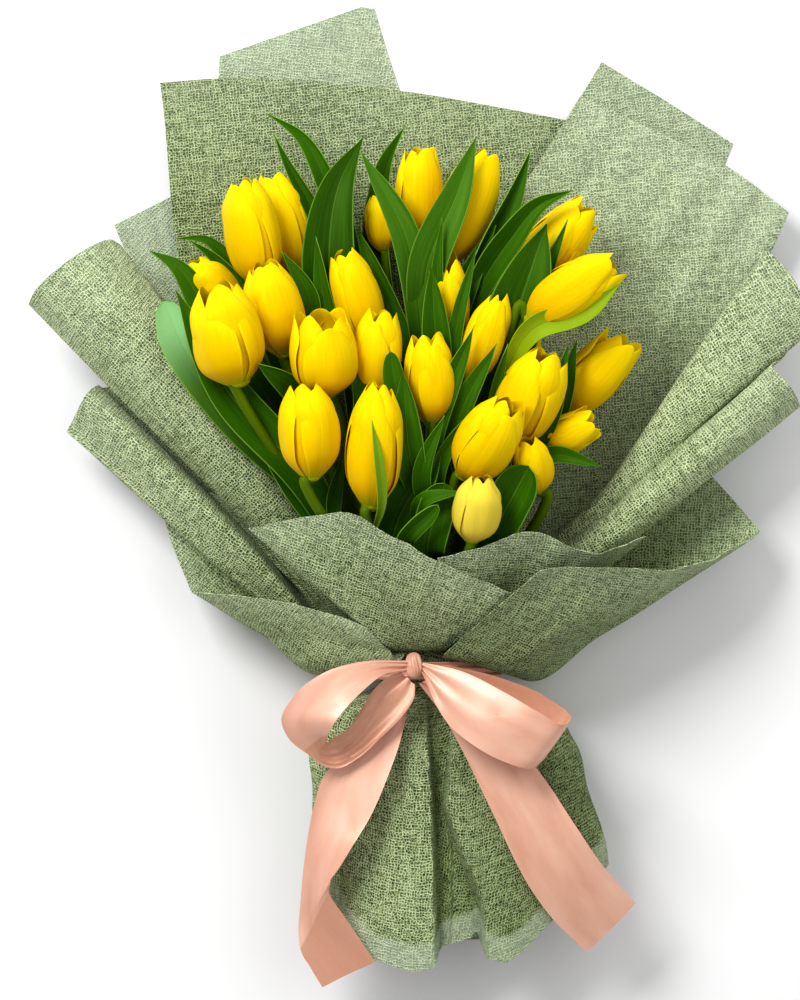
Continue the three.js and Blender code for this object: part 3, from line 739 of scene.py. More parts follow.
@dataclass
class HeadMaker:
    """Builds tulip heads from six thin cupped petals on a small receptacle."""

    outer: PetalShape = PetalShape(180, 1.0, 0.9, 0.2, 0.0)
    inner: PetalShape = PetalShape(120, 0.93, 0.94, 0.22, 0.2)
    # How far a petal's middle stands from the axis, its half width and the radius of its own curve,
    # from root to tip, as shares of the head's half width.
    cup: tuple = (0.26, 0.84, 1.0, 1.0, 0.88)
    half_widths: tuple = (0.28, 0.8, 1.02, 1.04, 0.94, 0.6)
    curves: tuple = (0.3, 0.84, 0.99, 0.99, 0.9, 0.68)
    closed_tip: float = 0.38
    open_gain: float = 0.5
    overlap: float = 0.07
    lift: float = 0.08
    rows: int = 15
    columns: int = 11
    thickness: float = 0.55 * MM
    seat: float = 0.03
    # Small differences: how far petals lean out, how far they swing round, in degrees, how deep their
    # waves and ribs are, how uneven their rim is and how high its crest, as shares of width or reach.
    leans: tuple = (-0.03, 0.05)
    swing: float = 9.0
    wave_depth: float = 0.03
    rib_depth: float = 0.018
    uneven: float = 0.014
    crest: float = 0.018
    # A head that is more open than this flares at its rim, by this share of what is past it.
    flare_from: float = 0.3
    flare_gain: float = 0.25

    def frame_of(self, head: Head) -> tuple[np.ndarray, ...]:
        """Gives a head's base, axis, side and front directions, and its length."""
        base, tip = placed(head.base), placed(head.tip)
        axis = tip - base
        length = axis.length
        axis.normalize()
        side = Vector((0, 0, 1)).cross(axis).normalized()
        front = axis.cross(side)
        return np.array(base), np.array(axis), np.array(side), np.array(front), length

    def petal(self, head: Head, shape: PetalShape, angle: float, seed: int) -> np.ndarray:
        """Shapes one petal.

        Args:
            head: the head that it stands on.
            shape: the ring that it belongs to.
            angle: where its middle stands round the head's axis, in degrees.
            seed: which small differences of form it has.

        Returns:
            Its grid of points, from root to tip.
        """
        base, axis, side, front, length = self.frame_of(head)
        draw = np.random.default_rng(seed)
        t = np.linspace(0, 1, self.rows)[:, None] ** 0.92
        s = np.linspace(-1, 1, self.columns)[None, :]
        cup = (*self.cup, self.closed_tip + self.open_gain * head.open - shape.closing)
        middle, wide, curve = (
            through(np.array(shares)[:, None], np.linspace(0, 1, len(shares)), t[:, 0])
            for shares in (cup, self.half_widths, self.curves)
        )
        lean = draw.uniform(*self.leans) * t**2
        reach = draw.uniform(shape.shortest, 1.0)
        for petal, its_reach, its_lean in head.loose:
            if petal == seed % 10:
                reach = its_reach
                lean = lean + its_lean * t**1.5
        flare = max(0.0, head.open - self.flare_from) * self.flare_gain * t**7
        waves = ripples(s * 0.5, t, seed, 1.4, 1.2) * self.wave_depth
        ribs = np.cos(3 * np.pi * s) * self.rib_depth * np.sin(np.pi * t)
        lift = self.lift * np.abs(s) ** 4 * np.sin(np.pi * np.clip(t * 0.9 + 0.1, 0, 1))
        lift = lift + self.lift * 0.6 * t**10
        bend = s * wide / curve
        outward = middle + lean + flare - curve * (1 - np.cos(bend)) + waves + ribs + lift
        outward = outward + self.overlap * s * t * wide
        sideways = curve * np.sin(bend)
        half = shape.scale * head.width / 2 * MM
        turn = math.radians(angle + draw.uniform(-self.swing, self.swing))
        away = side * math.sin(turn) - front * math.cos(turn)
        beside = side * math.cos(turn) + front * math.sin(turn)
        crest = self.crest * np.exp(-((s / 0.2) ** 2)) * t**6
        drop = shape.tip_drop * np.abs(s) ** 2.5 * t**2.2
        uneven = ripples(s * 0.5, t, seed + 1, 2.2, 0.6) * self.uneven * t**2
        height = np.maximum(length * reach * (t * 0.985 - drop + crest + uneven), -0.5 * MM)
        return (
            base
            + away * (outward * half)[..., None]
            + beside * (sideways * half)[..., None]
            + axis * height[..., None]
        )

    def receptacle(self, head: Head) -> bpy.types.Object:
        """Builds the small green swelling under the petals."""
        base, axis, side, front, length = self.frame_of(head)
        profile = ((0.01, -self.seat), (0.2, -self.seat), (0.33, 0.0), (0.36, 0.05), (0.2, 0.1), (0.01, 0.11))
        around = np.linspace(0, 2 * np.pi, 14, endpoint=False)
        rings = [
            base
            + axis * place * length
            + (side * np.sin(around)[:, None] + front * np.cos(around)[:, None]) * share * head.width / 2 * MM
            for share, place in profile
        ]
        grid = np.array(rings)
        flat = np.full((len(rings), len(around) + 1, 2), 0.3) * np.array([1, 0.05])
        piece = piece_from("receptacle", grid_mesh("receptacle", grid, flat, closed=True))
        close_ends(piece)
        return piece

    def build(self, number: int, head: Head) -> bpy.types.Object:
        """Builds one head.

        Args:
            number: the head's number in the frame.
            head: its size and place.

        Returns:
            The finished piece.
        """
        petals = []
        for ring, shape in enumerate((self.outer, self.inner)):
            for index in range(3):
                angle = shape.start + head.turn + index * 120
                grid = self.petal(head, shape, angle, number * 10 + ring * 3 + index)
                mesh = grid_mesh("petal", grid, even_places(self.rows, self.columns))
                mark(mesh, "pale", head.pale)
                petals.append(piece_from("petal", mesh))
        piece = joined(f"tulip_{number:02d}", petals)
        finish_with(piece, "SOLIDIFY", thickness=self.thickness, offset=0)
        finish_with(piece, "SUBSURF", levels=1, render_levels=1)
        piece = joined(f"tulip_{number:02d}", [piece, self.receptacle(head)])
        rounded(piece, 60)
        return piece


def close_ends(piece: bpy.types.Object) -> None:
    """Fills a tube's open ends and turns all its faces outward."""
    pick(piece)
    bpy.ops.object.mode_set(mode="EDIT")
    bpy.ops.mesh.select_all(action="SELECT")
    bpy.ops.mesh.remove_doubles(threshold=1e-6)
    bpy.ops.mesh.select_all(action="DESELECT")
    bpy.ops.mesh.select_non_manifold(extend=False)
    bpy.ops.mesh.fill_holes(sides=0)
    bpy.ops.mesh.select_all(action="SELECT")
    bpy.ops.mesh.normals_make_consistent(inside=False)
    bpy.ops.object.mode_set(mode="OBJECT")


@dataclass(frozen=True)
class Leaf:
    """One leaf: the head whose stem it grows on, how far up, a low point of it, its tip and width.

    turn leans the blade about its length, in degrees; tint runs from 0, deep green, to 1, grey green;
    via is a point between the low one and the tip; lime is how yellow it is, and below 0 how pale its
    end is; fold is how sharply it is folded along its rib.
    """

    head: int
    at: float
    low: Point
    tip: Point
    width: float
    round: bool = False
    turn: float = 0.0
    tint: float = 0.4
    via: Point | None = None
    lime: float = 0.0
    fold: float = 0.0


LEAVES = (
    Leaf(2, 0.5, (-52, 190, 40), (-89, 234, 26), 15, tint=0.4, via=(-68, 219, 34), fold=0.3),
    Leaf(2, 0.45, (-60, 172, 40), (-85, 222, 22), 12, tint=0.25, via=(-77, 204, 32), fold=0.4),
    Leaf(3, 0.5, (-51, 148, 58), (-31, 218, 44), 32, tint=0.15, via=(-45, 190, 54)),
    Leaf(4, 0.55, (-20, 176, 26), (-5, 227, 24), 17, turn=30, tint=0.3, via=(-16, 204, 26), fold=0.5),
    Leaf(4, 0.6, (4, 104, 62), (-32, 209, 62), 18, tint=0.62, via=(-5, 158, 66)),
    Leaf(5, 0.65, (8, 140, 70), (37, 217, 73), 23, tint=0.62, via=(26, 184, 73)),
    Leaf(5, 0.6, (43, 150, 56), (70, 211, 50), 18, turn=-20, tint=0.4, via=(60, 186, 54), fold=0.5),
    Leaf(5, 0.7, (57, 155, 70), (95, 185, 78), 17, tint=0.4, via=(76, 177, 76), fold=0.3),
    Leaf(5, 0.65, (34, 135, 62), (49, 165, 62), 15, tint=0.3),
    Leaf(7, 0.5, (76, 129, 72), (92, 168, 76), 12, tint=0.35),
    Leaf(1, 0.5, (-128, 120, 48), (-159, 150, 42), 21, tint=0.4, via=(-143, 141, 47)),
    Leaf(1, 0.6, (-110, 143, 34), (-144, 158, 34), 11, tint=0.45, via=(-126, 157, 36)),
    Leaf(1, 0.55, (-108, 132, 44), (-136, 157, 40), 12, tint=0.3, via=(-123, 148, 44), fold=0.4),
    Leaf(8, 0.6, (88, 60, 74), (97, 95, 80), 14, tint=0.3),
    Leaf(
        9, 0.35, (-112, 56, 76), (-150, 119, 70), 25,
        round=True, turn=-10, tint=0.8, via=(-138, 92, 80), lime=-0.6,
    ),
    Leaf(9, 0.75, (-62, 120, 66), (-79, 149, 66), 11, tint=0.35),
    Leaf(10, 0.8, (-52, 113, 64), (-59, 158, 68), 11, tint=0.35),
    Leaf(11, 0.75, (-14, 112, 56), (-34, 163, 56), 15, tint=0.3),
    Leaf(11, 0.8, (14, 138, 76), (17, 169, 78), 8, tint=0.4),
    Leaf(11, 0.7, (13, 96, 84), (10, 139, 88), 17, tint=0.35),
    Leaf(12, 0.7, (25, 102, 84), (37, 150, 82), 9, tint=0.35),
    Leaf(14, 0.6, (57, 98, 78), (79, 165, 78), 35, tint=0.25, via=(70, 138, 82)),
    Leaf(14, 0.75, (73, 103, 90), (123, 129, 92), 15, tint=0.7, via=(103, 113, 92), lime=0.55),
    Leaf(15, 0.3, (-67, 15, 86), (-142, 125, 88), 25, tint=0.35, via=(-112, 66, 88)),
    Leaf(15, 0.35, (-74, 20, 58), (-120, 70, 66), 13, tint=0.3),
    Leaf(16, 0.7, (-70, 63, 92), (-93, 81, 114), 15, tint=0.35),
    Leaf(17, 0.75, (-31, 60, 96), (-43, 105, 92), 11, tint=0.3),
    Leaf(19, 0.6, (-1, 18, 104), (-7, 77, 112), 18, tint=0.35),
    Leaf(19, 0.75, (-9, 55, 104), (-14, 88, 108), 13, round=True, tint=0.4),
    Leaf(19, 0.7, (13, 42, 94), (35, 102, 100), 13, tint=0.35),
    Leaf(20, 0.65, (25, 42, 92), (49, 93, 100), 14, tint=0.35),
    Leaf(20, 0.75, (50, 70, 90), (56, 93, 90), 8, tint=0.35),
    Leaf(21, 0.75, (79, 44, 82), (92, 93, 84), 11, tint=0.4),
    Leaf(21, 0.8, (82, 27, 84), (112, 20, 84), 10, tint=0.45),
    Leaf(23, 0.6, (-47, -12, 86), (-43, 25, 92), 9, tint=0.3),
    Leaf(23, 0.4, (-60, -10, 78), (-100, 50, 84), 13, tint=0.3),
    Leaf(24, 0.55, (-12, -20, 92), (16, 30, 106), 24, tint=0.25),
    Leaf(24, 0.9, (-19, 0, 124), (-25, 47, 131), 6, tint=0.8, via=(-21, 24, 132.5), lime=0.3),
    Leaf(25, 0.6, (5, 18, 108), (18, 50, 114), 11, tint=0.35),
    Leaf(25, 0.65, (16, 22, 104), (40, 58, 104), 9, tint=0.4),
    Leaf(25, 0.5, (8, 0, 112), (30, 5, 120), 12, turn=30, tint=0.45),
    Leaf(25, 0.45, (-6, -24, 108), (14, -3, 122), 12, round=True, turn=-30, tint=0.5),
    Leaf(25, 0.5, (8, -30, 100), (18, 10, 108), 22, round=True, tint=0.25),
    Leaf(26, 0.6, (46, -21, 96), (68, 20, 112), 26, round=True, tint=0.3),
)


@dataclass
class Foliage:
    """The stems, which pass through the tie in four rows, and the leaves that grow on them."""

    tie_x: float = 8.0
    tie_y: float = -99.0
    first_row: float = 24.0
    row_pitch: float = 7.4
    pitch: float = 5.2
    waist_height: float = 35.0
    end_y: float = -215.0
    end_spread: float = 1.25
    neck: float = 14.0
    stem_radius: float = 3.2
    stem_rows: int = 34
    stem_sides: int = 12
    pointed: tuple = (0.3, 0.62, 0.92, 1.0, 0.66, 0.0)
    blunt: tuple = (0.3, 0.62, 0.88, 1.0, 1.0, 1.0)
    stations: tuple = (0.0, 0.22, 0.42, 0.62, 0.82, 1.0)
    cup: float = 0.16
    # How much deeper the cup is at the root, how far a blade may twist, in degrees, and its waves' depth.
    gully: float = 0.1
    twist: float = 14.0
    wave_depth: float = 0.022
    rows: int = 44
    columns: int = 15
    thickness: float = 0.6 * MM
    names: tuple = ("back", "middle_back", "middle_front", "front")

    def stem_line(self, number: int, place: int, count: int) -> np.ndarray:
        """Draws the line of a stem, from its cut end through the tie to under its head.

        Args:
            number: its head's number.
            place: its place in its row at the tie.
            count: how many stems that row has.

        Returns:
            Four points, in metres.
        """
        head = HEADS[number - 1]
        x = (place - (count - 1) / 2) * self.pitch
        z = self.first_row + head.row * self.row_pitch
        end_z = self.waist_height + (z - self.waist_height) * self.end_spread
        base, tip = placed(head.base), placed(head.tip)
        axis = (tip - base).normalized()
        neck = base + axis * 1.2 * MM
        below = neck - axis * self.neck * MM
        cut = placed((self.tie_x + x * self.end_spread, self.end_y, end_z))
        return np.array([cut, placed((self.tie_x + x, self.tie_y, z)), below, neck])

    def stem(self, line: np.ndarray) -> bpy.types.Object:
        """Builds one stem as a slim tube, a little wider at its neck."""
        t = np.linspace(0, 1, self.stem_rows)
        path = through(line, np.array([0, 1, 2, 3]) / 3, t)
        along = np.gradient(path, axis=0)
        along /= np.linalg.norm(along, axis=1, keepdims=True)
        side = np.cross(along, (0.0, 0.0, 1.0))
        side /= np.linalg.norm(side, axis=1, keepdims=True)
        up = np.cross(side, along)
        around = np.linspace(0, 2 * np.pi, self.stem_sides, endpoint=False)
        radius = (self.stem_radius + 0.5 * np.clip((t - 0.9) / 0.1, 0, 1)) * MM
        ring = side[:, None] * np.cos(around)[:, None] + up[:, None] * np.sin(around)[:, None]
        grid = path[:, None] + ring * radius[:, None, None]
        across = np.linspace(0.1, 0.44, self.stem_sides + 1)[None, :]
        flat = np.stack(np.broadcast_arrays(across, t[:, None]), -1)
        mesh = grid_mesh("stem", grid, flat, closed=True)
        mark(mesh, "tint", 0.2)
        mark(mesh, "lime", 0.18)
        piece = piece_from("stem", mesh)
        close_ends(piece)
        return piece

    def leaf(self, leaf: Leaf, line: np.ndarray, seed: int) -> bpy.types.Object:
        """Builds one leaf as a thin cupped blade.

        Args:
            leaf: its size and place.
            line: the line of the stem that it grows on.
            seed: which small differences of form it has.

        Returns:
            The blade.
        """
        root = through(line, np.array([0, 1, 2, 3]) / 3, np.array([(1 + leaf.at) / 3]))[0]
        knots = [leaf.low, *([leaf.via] if leaf.via else []), leaf.tip]
        rough = np.array([root, *(placed(point) for point in knots)])
        t = np.linspace(0, 1, self.rows) ** 0.8
        path = through(rough, chords(rough), t)
        along = np.gradient(path, axis=0)
        along /= np.linalg.norm(along, axis=1, keepdims=True)
        across = np.cross(along, (0.0, 0.0, 1.0))
        across /= np.linalg.norm(across, axis=1, keepdims=True)
        draw = np.random.default_rng(seed)
        twist = np.radians(leaf.turn + draw.uniform(-self.twist, self.twist) * t)[:, None]
        facing = np.cross(across, along)
        across = across * np.cos(twist) + facing * np.sin(twist)
        facing = np.cross(across, along)
        shape = np.array(self.blunt if leaf.round else self.pointed)[:, None]
        wide = through(shape, np.array(self.stations), t)
        if leaf.round:
            wide = wide * np.sqrt(np.clip(1 - (np.clip(t - 0.8, 0, 1) / 0.2)[:, None] ** 2, 0, 1))
        wide = np.clip(wide, 0.015, None)
        s = np.linspace(-1, 1, self.columns)[None, :]
        half = leaf.width / 2 * MM * wide
        gully = (1 - t[:, None]) * self.gully
        creased = (self.cup + gully) * np.abs(s) ** 1.6 + leaf.fold * 0.5 * np.abs(s)
        raised = leaf.width * MM * wide * (creased - 0.02)
        waves = ripples(s * 0.5, t[:, None], seed, 0.5, 2.2) * (0.3 + np.abs(s) ** 3)
        waves = waves * leaf.width * self.wave_depth * MM
        grid = path[:, None] + across[:, None] * (s * half)[..., None]
        grid = grid + facing[:, None] * (raised + waves)[..., None]
        mesh = grid_mesh("leaf", grid, even_places(self.rows, self.columns))
        mark(mesh, "tint", leaf.tint)
        mark(mesh, "lime", leaf.lime)
        piece = piece_from("leaf", mesh)
        finish_with(piece, "SOLIDIFY", thickness=self.thickness, offset=0)
        return piece

    def build(self, row: int) -> bpy.types.Object:
        """Builds the stems and leaves of one row.

        Args:
            row: 0 for the row nearest the table, 3 for the front one.

        Returns:
            The finished piece.
        """
        members = [number for number, head in enumerate(HEADS, 1) if head.row == row]
        pieces = []
        for place, number in enumerate(members):
            line = self.stem_line(number, place, len(members))
            pieces.append(self.stem(line))
            for seed, leaf in enumerate(LEAVES, LEAF_SEED):
                if leaf.head == number:
                    pieces.append(self.leaf(leaf, line, seed))
        piece = joined(f"greenery_{self.names[row]}", pieces)
        rounded(piece, 60)
        return piece


@dataclass(frozen=True)
class Sheet:
    """One wrapping sheet: its foot on the waist, and the points that each of its columns passes above.

    ply is 1 where the paper lies double and less where light comes through it, weave the angle of its
    threads in degrees, and wrinkle the depth of its folds in millimetres. sharp lists the columns that end
    in a corner, pitch is the angle between two columns at the waist, tint is painted shade over the whole
    sheet and shade how much more painted shade darkens its foot.
    """

    node: str
    layer: int
    start: float
    columns: tuple
    ply: float = 1.0
    weave: float = 0.0
    wrinkle: float = 1.0
    folds: float = 5.0
    sharp: tuple = ()
    pitch: float = 15.0
    tint: float = 0.0
    shade: float = 0.6
    name: str = ""


SHEETS = (
    Sheet(
        "wrap_back_top", 8, 240,
        (
            ((-125, 130, 0.5), (-118, 270, 0.5)), ((-85, 135, 0.5), (-75, 285, 0.5)),
            ((-45, 140, 0.5), (-32, 300, 0.5)), ((-10, 145, 0.5), (-24, 299, 0.5)),
            ((20, 150, 0.5), (-20, 285, 0.5)),
        ),
        sharp=(2, 3), ply=0.55, weave=-18, wrinkle=0.0,
    ),
    Sheet(
        "wrap_back_left", 4, 210,
        (
            ((-130, 100, 16), (-154, 253, 14)), ((-100, 80, 13), (-115, 256, 10)),
            ((-60, 70, 10), (-56, 254, 7)), ((-20, 65, 7), (4, 247, 5.5)), ((20, 65, 5.5), (50, 239, 5)),
            ((50, 65, 5.5), (92, 231, 4.5)), ((66, 60, 5.5), (84, 185, 4.5)),
        ),
        sharp=(5,), weave=4, wrinkle=0.5, tint=0.36,
    ),
    Sheet(
        "wrap_back_right_outer", 3, 285,
        (
            ((30, 120, 9.8), (114, 266, 9)), ((85, 105, 7), (154, 242, 5)),
            ((140, 85, 0.5), (194, 217, 0.5)),
        ),
        ply=0.7, weave=30, wrinkle=0.2,
    ),
    Sheet(
        "wrap_back_right_inner", 2, 285,
        (
            ((28, 118, 15), (101, 245, 15)), ((75, 105, 16), (150, 222, 17)),
            ((120, 88, 18), (190, 202, 20)), ((165, 60, 21), (227, 174, 24)),
            ((172, 40, 23), (214, 150, 26)),
        ),
        sharp=(3,), ply=0.72, weave=32, wrinkle=1.6,
    ),
    Sheet(
        "wrap_left_inner", 5, 195,
        (
            ((-135, 60, 9), (-182, 167, 8)), ((-118, 55, 8), (-160, 178, 6.5)),
            ((-95, 50, 6.5), (-140, 188, 5)), ((-70, 45, 5.5), (-118, 198, 3.5)),
        ),
        ply=0.45, weave=24, wrinkle=0.3,
    ),
    Sheet(
        "wrap_left_roll", 1, 135,
        (
            ((-97, -17, 50), (-232, 118, 40)), ((-91, -14, 60), (-226, 128, 56)),
            ((-82, -10, 65), (-212, 140, 64)), ((-74, -6, 62), (-196, 151, 60)),
            ((-68, -2, 52), (-182, 157, 44)), ((-66, 4, 34), (-172, 146, 24)),
        ),
        weave=6, wrinkle=1.2, folds=3,
    ),
    Sheet(
        "wrap_lower_left", 6, 105,
        (
            ((-8, -96, 72), (-14, -91, 76), (-20, -85, 78)),
            ((-16, -97, 70), (-24, -88, 77), (-31, -75, 82)),
            ((-26, -98, 67), (-44, -83, 74), (-62, -65, 82)),
            ((-36, -100, 61), (-60, -82, 69), (-85, -60, 76)),
            ((-46, -102, 53), (-78, -82, 58), (-110, -57, 66)),
            ((-50, -104, 40), (-93, -80, 42), (-134, -55, 44)),
            ((-52, -98, 30), (-92, -66, 28), (-146, -28, 24)),
            ((-50, -96, 32), (-98, -56, 32), (-153, -8, 24)),
            ((-48, -92, 38), (-108, -46, 46), (-210, 41, 30)),
            ((-44, -88, 46), (-98, -30, 58), (-197, 64, 46)),
            ((-44, -87, 34), (-96, -27, 42), (-191, 69, 32)),
            ((-42, -86, 22), (-94, -24, 22), (-187, 68, 16)),
            ((-34, -82, 20), (-72, -24, 24), (-164, 80, 13)),
        ),
        sharp=(5, 8), pitch=9.5, weave=-12, wrinkle=0.8,
    ),
    # A lining in the gap under the front left flap, darkened all over by painted shade, most at its foot.
    Sheet(
        "wrap_lower_left", 5, 105,
        (
            ((-4, -90, 60), (-30, -66, 58), (-62, -26, 50)),
            ((-14, -90, 56), (-44, -62, 52), (-88, -12, 42)),
            ((-24, -90, 50), (-58, -58, 44), (-112, 0, 34)),
            ((-34, -90, 40), (-72, -52, 32), (-128, 6, 24)),
        ),
        weave=20, wrinkle=0.8, shade=1.0, name="paper_left_lining",
    ),
    Sheet(
        "wrap_front_left_flap", 4, 60,
        (
            ((20, -90, 68), (36, -76, 90), (58, -55, 106)), ((10, -90, 70), (9, -66, 97), (13, -36, 119)),
            ((4, -90, 71), (-6, -60, 99), (-12, -22, 121)),
            ((-2, -90, 71), (-18, -54, 100), (-36, -8, 120)),
            ((-8, -90, 70), (-30, -52, 97), (-47, -8, 114)),
            ((-12, -90, 69), (-41, -55, 91), (-75, -12, 98)),
            ((-16, -90, 67), (-48, -61, 82), (-99, -17, 84)),
        ),
        weave=28, wrinkle=1.0, tint=0.15,
    ),
    Sheet(
        "wrap_front_centre_flap", 3, 15,
        (
            ((90, -62, 54), (139, -22, 70)), ((66, -62, 72), (103, -31, 92)),
            ((50, -60, 80), (70, -19, 106)), ((32, -62, 86), (42, -27, 110)),
            ((12, -66, 86), (14, -35, 110)),
        ),
        weave=-16, wrinkle=0.8,
    ),
    Sheet(
        "wrap_front_right_flap", 7, -30,
        (
            ((60, -92, 22), (98, -44, 18), (181, 14, 20)), ((66, -99, 24), (110, -60, 22), (195, -2, 24)),
            ((66, -107, 34), (114, -79, 34), (209, -19, 34)),
            ((58, -105, 50), (104, -81, 54), (185, -33, 58)),
            ((52, -103, 60), (92, -84, 72), (155, -42, 82)),
            ((38, -99, 68), (70, -82, 86), (110, -40, 104)),
            ((18, -94, 74), (38, -73, 98), (74, -41, 118)),
        ),
        sharp=(2, 4), weave=-24, wrinkle=1.2, tint=0.25,
    ),
    Sheet(
        "wrap_right_roll", 1, -45,
        (
            ((112, 4, 34), (196, 128, 30)), ((120, 12, 50), (214, 150, 44)),
            ((124, 8, 54), (230, 130, 52)), ((124, 3, 54), (237, 104, 48)), ((122, -2, 54), (222, 86, 44)),
            ((120, -9, 64), (215, 80, 60)), ((121, -20, 67), (225, 69, 64)),
            ((122, -32, 54), (232, 57, 48)), ((114, -29, 42), (216, 60, 32)),
        ),
        sharp=(1, 4, 7), pitch=11.25, weave=-8, wrinkle=1.3, folds=3, shade=0.4,
    ),
)


@dataclass
class Wrap:
    """The green paper: twelve sheets that fan out of the tie, and the tail that they end in below it."""

    tie_x: float = 8.0
    height: float = 35.0
    half_width: float = 30.0
    half_depth: float = 20.0
    layer_pitch: float = 1.5
    feet: tuple = (-108.0, -99.0, -90.0)
    thickness: float = 0.45 * MM
    crease_angle: float = 40.0
    cell: float = 3.2 * MM
    # The share of a sheet's length that stays smooth at its foot, and over which wrinkles grow.
    smooth_foot: float = 0.2
    loosening: float = 0.4
    # The share of small creases in its wrinkles, and how much lighter its rim is painted, as painted light.
    small_creases: float = 0.35
    rim_painted_light: float = 0.3
    # How far a sheet's middle stays above the table.
    lowest: float = 0.3 * MM
    # Where the tail starts to open and where its hem would be if it were cut straight, along Y.
    tail_top: float = -112.0
    tail_low: float = -281.0
    # How far below its top the tail is fully open, and the single-ply band at its hem with its edge.
    tail_opening: float = 60.0
    hem_band: float = 17.0
    hem_edge: float = 2.5
    # The tail's rows of points, and the angle between its columns, in degrees.
    tail_rows: int = 78
    tail_step: float = 1.2
    # Rings of the tail: place along Y, middle, half width, height and half depth.
    tail_rings: tuple = (
        (-94.0, 8.0, 30.0, 35.0, 20.0),
        (-112.0, 8.0, 30.0, 35.0, 20.0),
        (-124.0, 15.0, 62.0, 35.0, 24.0),
        (-145.0, 17.5, 79.0, 35.0, 27.0),
        (-175.0, 22.0, 83.0, 34.5, 28.5),
        (-206.0, 27.0, 88.5, 34.0, 30.0),
        (-281.0, 26.0, 86.0, 34.0, 30.0),
    )
    # The hem's line at the front and the back: places across, and how low it hangs there.
    front_hem: tuple = (
        (-62, -50, -38, -23, -1, 12, 16, 25, 34, 36, 39, 43, 55, 64, 83, 113, 121),
        (
            -222, -240, -262, -277, -283, -281, -268, -266, -263, -258, -264, -275, -278, -272, -250,
            -219, -206,
        ),
    )
    back_hem: tuple = ((-62, -30, 0, 40, 64, 83, 113, 121), (-222, -258, -268, -267, -258, -246, -217, -206))
    # The recess between the tail's two front panels: how far down, and where it starts and ends across.
    recess: tuple = ((0.0, 8.5, 25.0), (0.46, 12.5, 18.0), (0.89, 14.5, 38.0), (1.0, 15.0, 42.0))
    recess_depth: float = 11.0
    # How wide the recess's two sides and a pleat's steep side are.
    recess_sides: tuple = (1.8, 3.0)
    pleat_side: float = 1.6
    # Softer pleats of the front: where each starts and ends across, how far it runs and how deep it is.
    pleats: tuple = ((-34, -46, 16, 5), (46, 84, 14, 6), (62, 104, 12, 4))

    def waist(self, angle: float, layer: float, y: float) -> Vector:
        """Gives a point on the waist at an angle, on one of its layers."""
        wide = self.half_width + layer * self.layer_pitch
        deep = self.half_depth + layer * self.layer_pitch
        turn = math.radians(angle)
        return placed((self.tie_x + wide * math.cos(turn), y, self.height + deep * math.sin(turn)))

    def declare(self, piece: bpy.types.Object, grid: np.ndarray, held: str, rests_on: list[str]) -> None:
        """Does nothing with a piece, its grid of points, how it is held or what it rests on: no flat size is
        stated.
        """

    def sheet(self, sheet: Sheet, seed: int) -> bpy.types.Object:
        """Builds one sheet from its foot under the ribbon up to its rim.

        Args:
            sheet: its size and place.
            seed: which wrinkles it has.

        Returns:
            The finished piece.
        """
        angles = [sheet.start + index * sheet.pitch for index in range(len(sheet.columns))]
        rough = [[self.waist(angle, sheet.layer, y) for angle in angles] for y in self.feet]
        rough += [[placed(point) for point in row] for row in zip(*sheet.columns)]
        rough = np.array(rough)
        tall = np.linalg.norm(np.diff(rough, axis=0), axis=-1).sum(axis=0).max()
        wide = np.linalg.norm(np.diff(rough, axis=1), axis=-1).sum(axis=1).max()
        rows = int(tall / self.cell) + 2
        grid = fine_grid(rough, rows, int(wide / self.cell) + 2, sheet.sharp)
        u = np.linspace(0, 1, grid.shape[1])[None, :]
        v = np.linspace(0, 1, rows)[:, None]
        free = np.clip((v - self.smooth_foot) / self.loosening, 0, 1)
        creases = ripples(u, v, seed, sheet.folds, 0.8)
        small = ripples(u, v, seed + 50, sheet.folds * 2.4, 3.0)
        height = sheet.wrinkle * MM * free * (creases + self.small_creases * small)
        grid = grid + grid_normals(grid) * height[..., None]
        grid[..., 2] = np.maximum(grid[..., 2], self.lowest)
        name = sheet.name or sheet.node.replace("wrap", "paper")
        mesh = grid_mesh(name, grid, unrolled(grid, sheet.weave))
        far = np.broadcast_to(v, grid.shape[:2])
        # The rim is painted paler towards its edge, as painted light where it catches the light.
        mark(mesh, "ply", (sheet.ply - self.rim_painted_light * far**4).reshape(-1))
        # Painted shade: the tint darkens the whole sheet, and the shade darkens it more towards its foot.
        mark(mesh, "shade", (sheet.tint + sheet.shade * np.clip(1.05 - far, 0, 1)).reshape(-1))
        piece = thin_piece(name, mesh, self.thickness, self.crease_angle)
        self.declare(piece, grid, "gathered", ["ribbon_band"])
        return piece

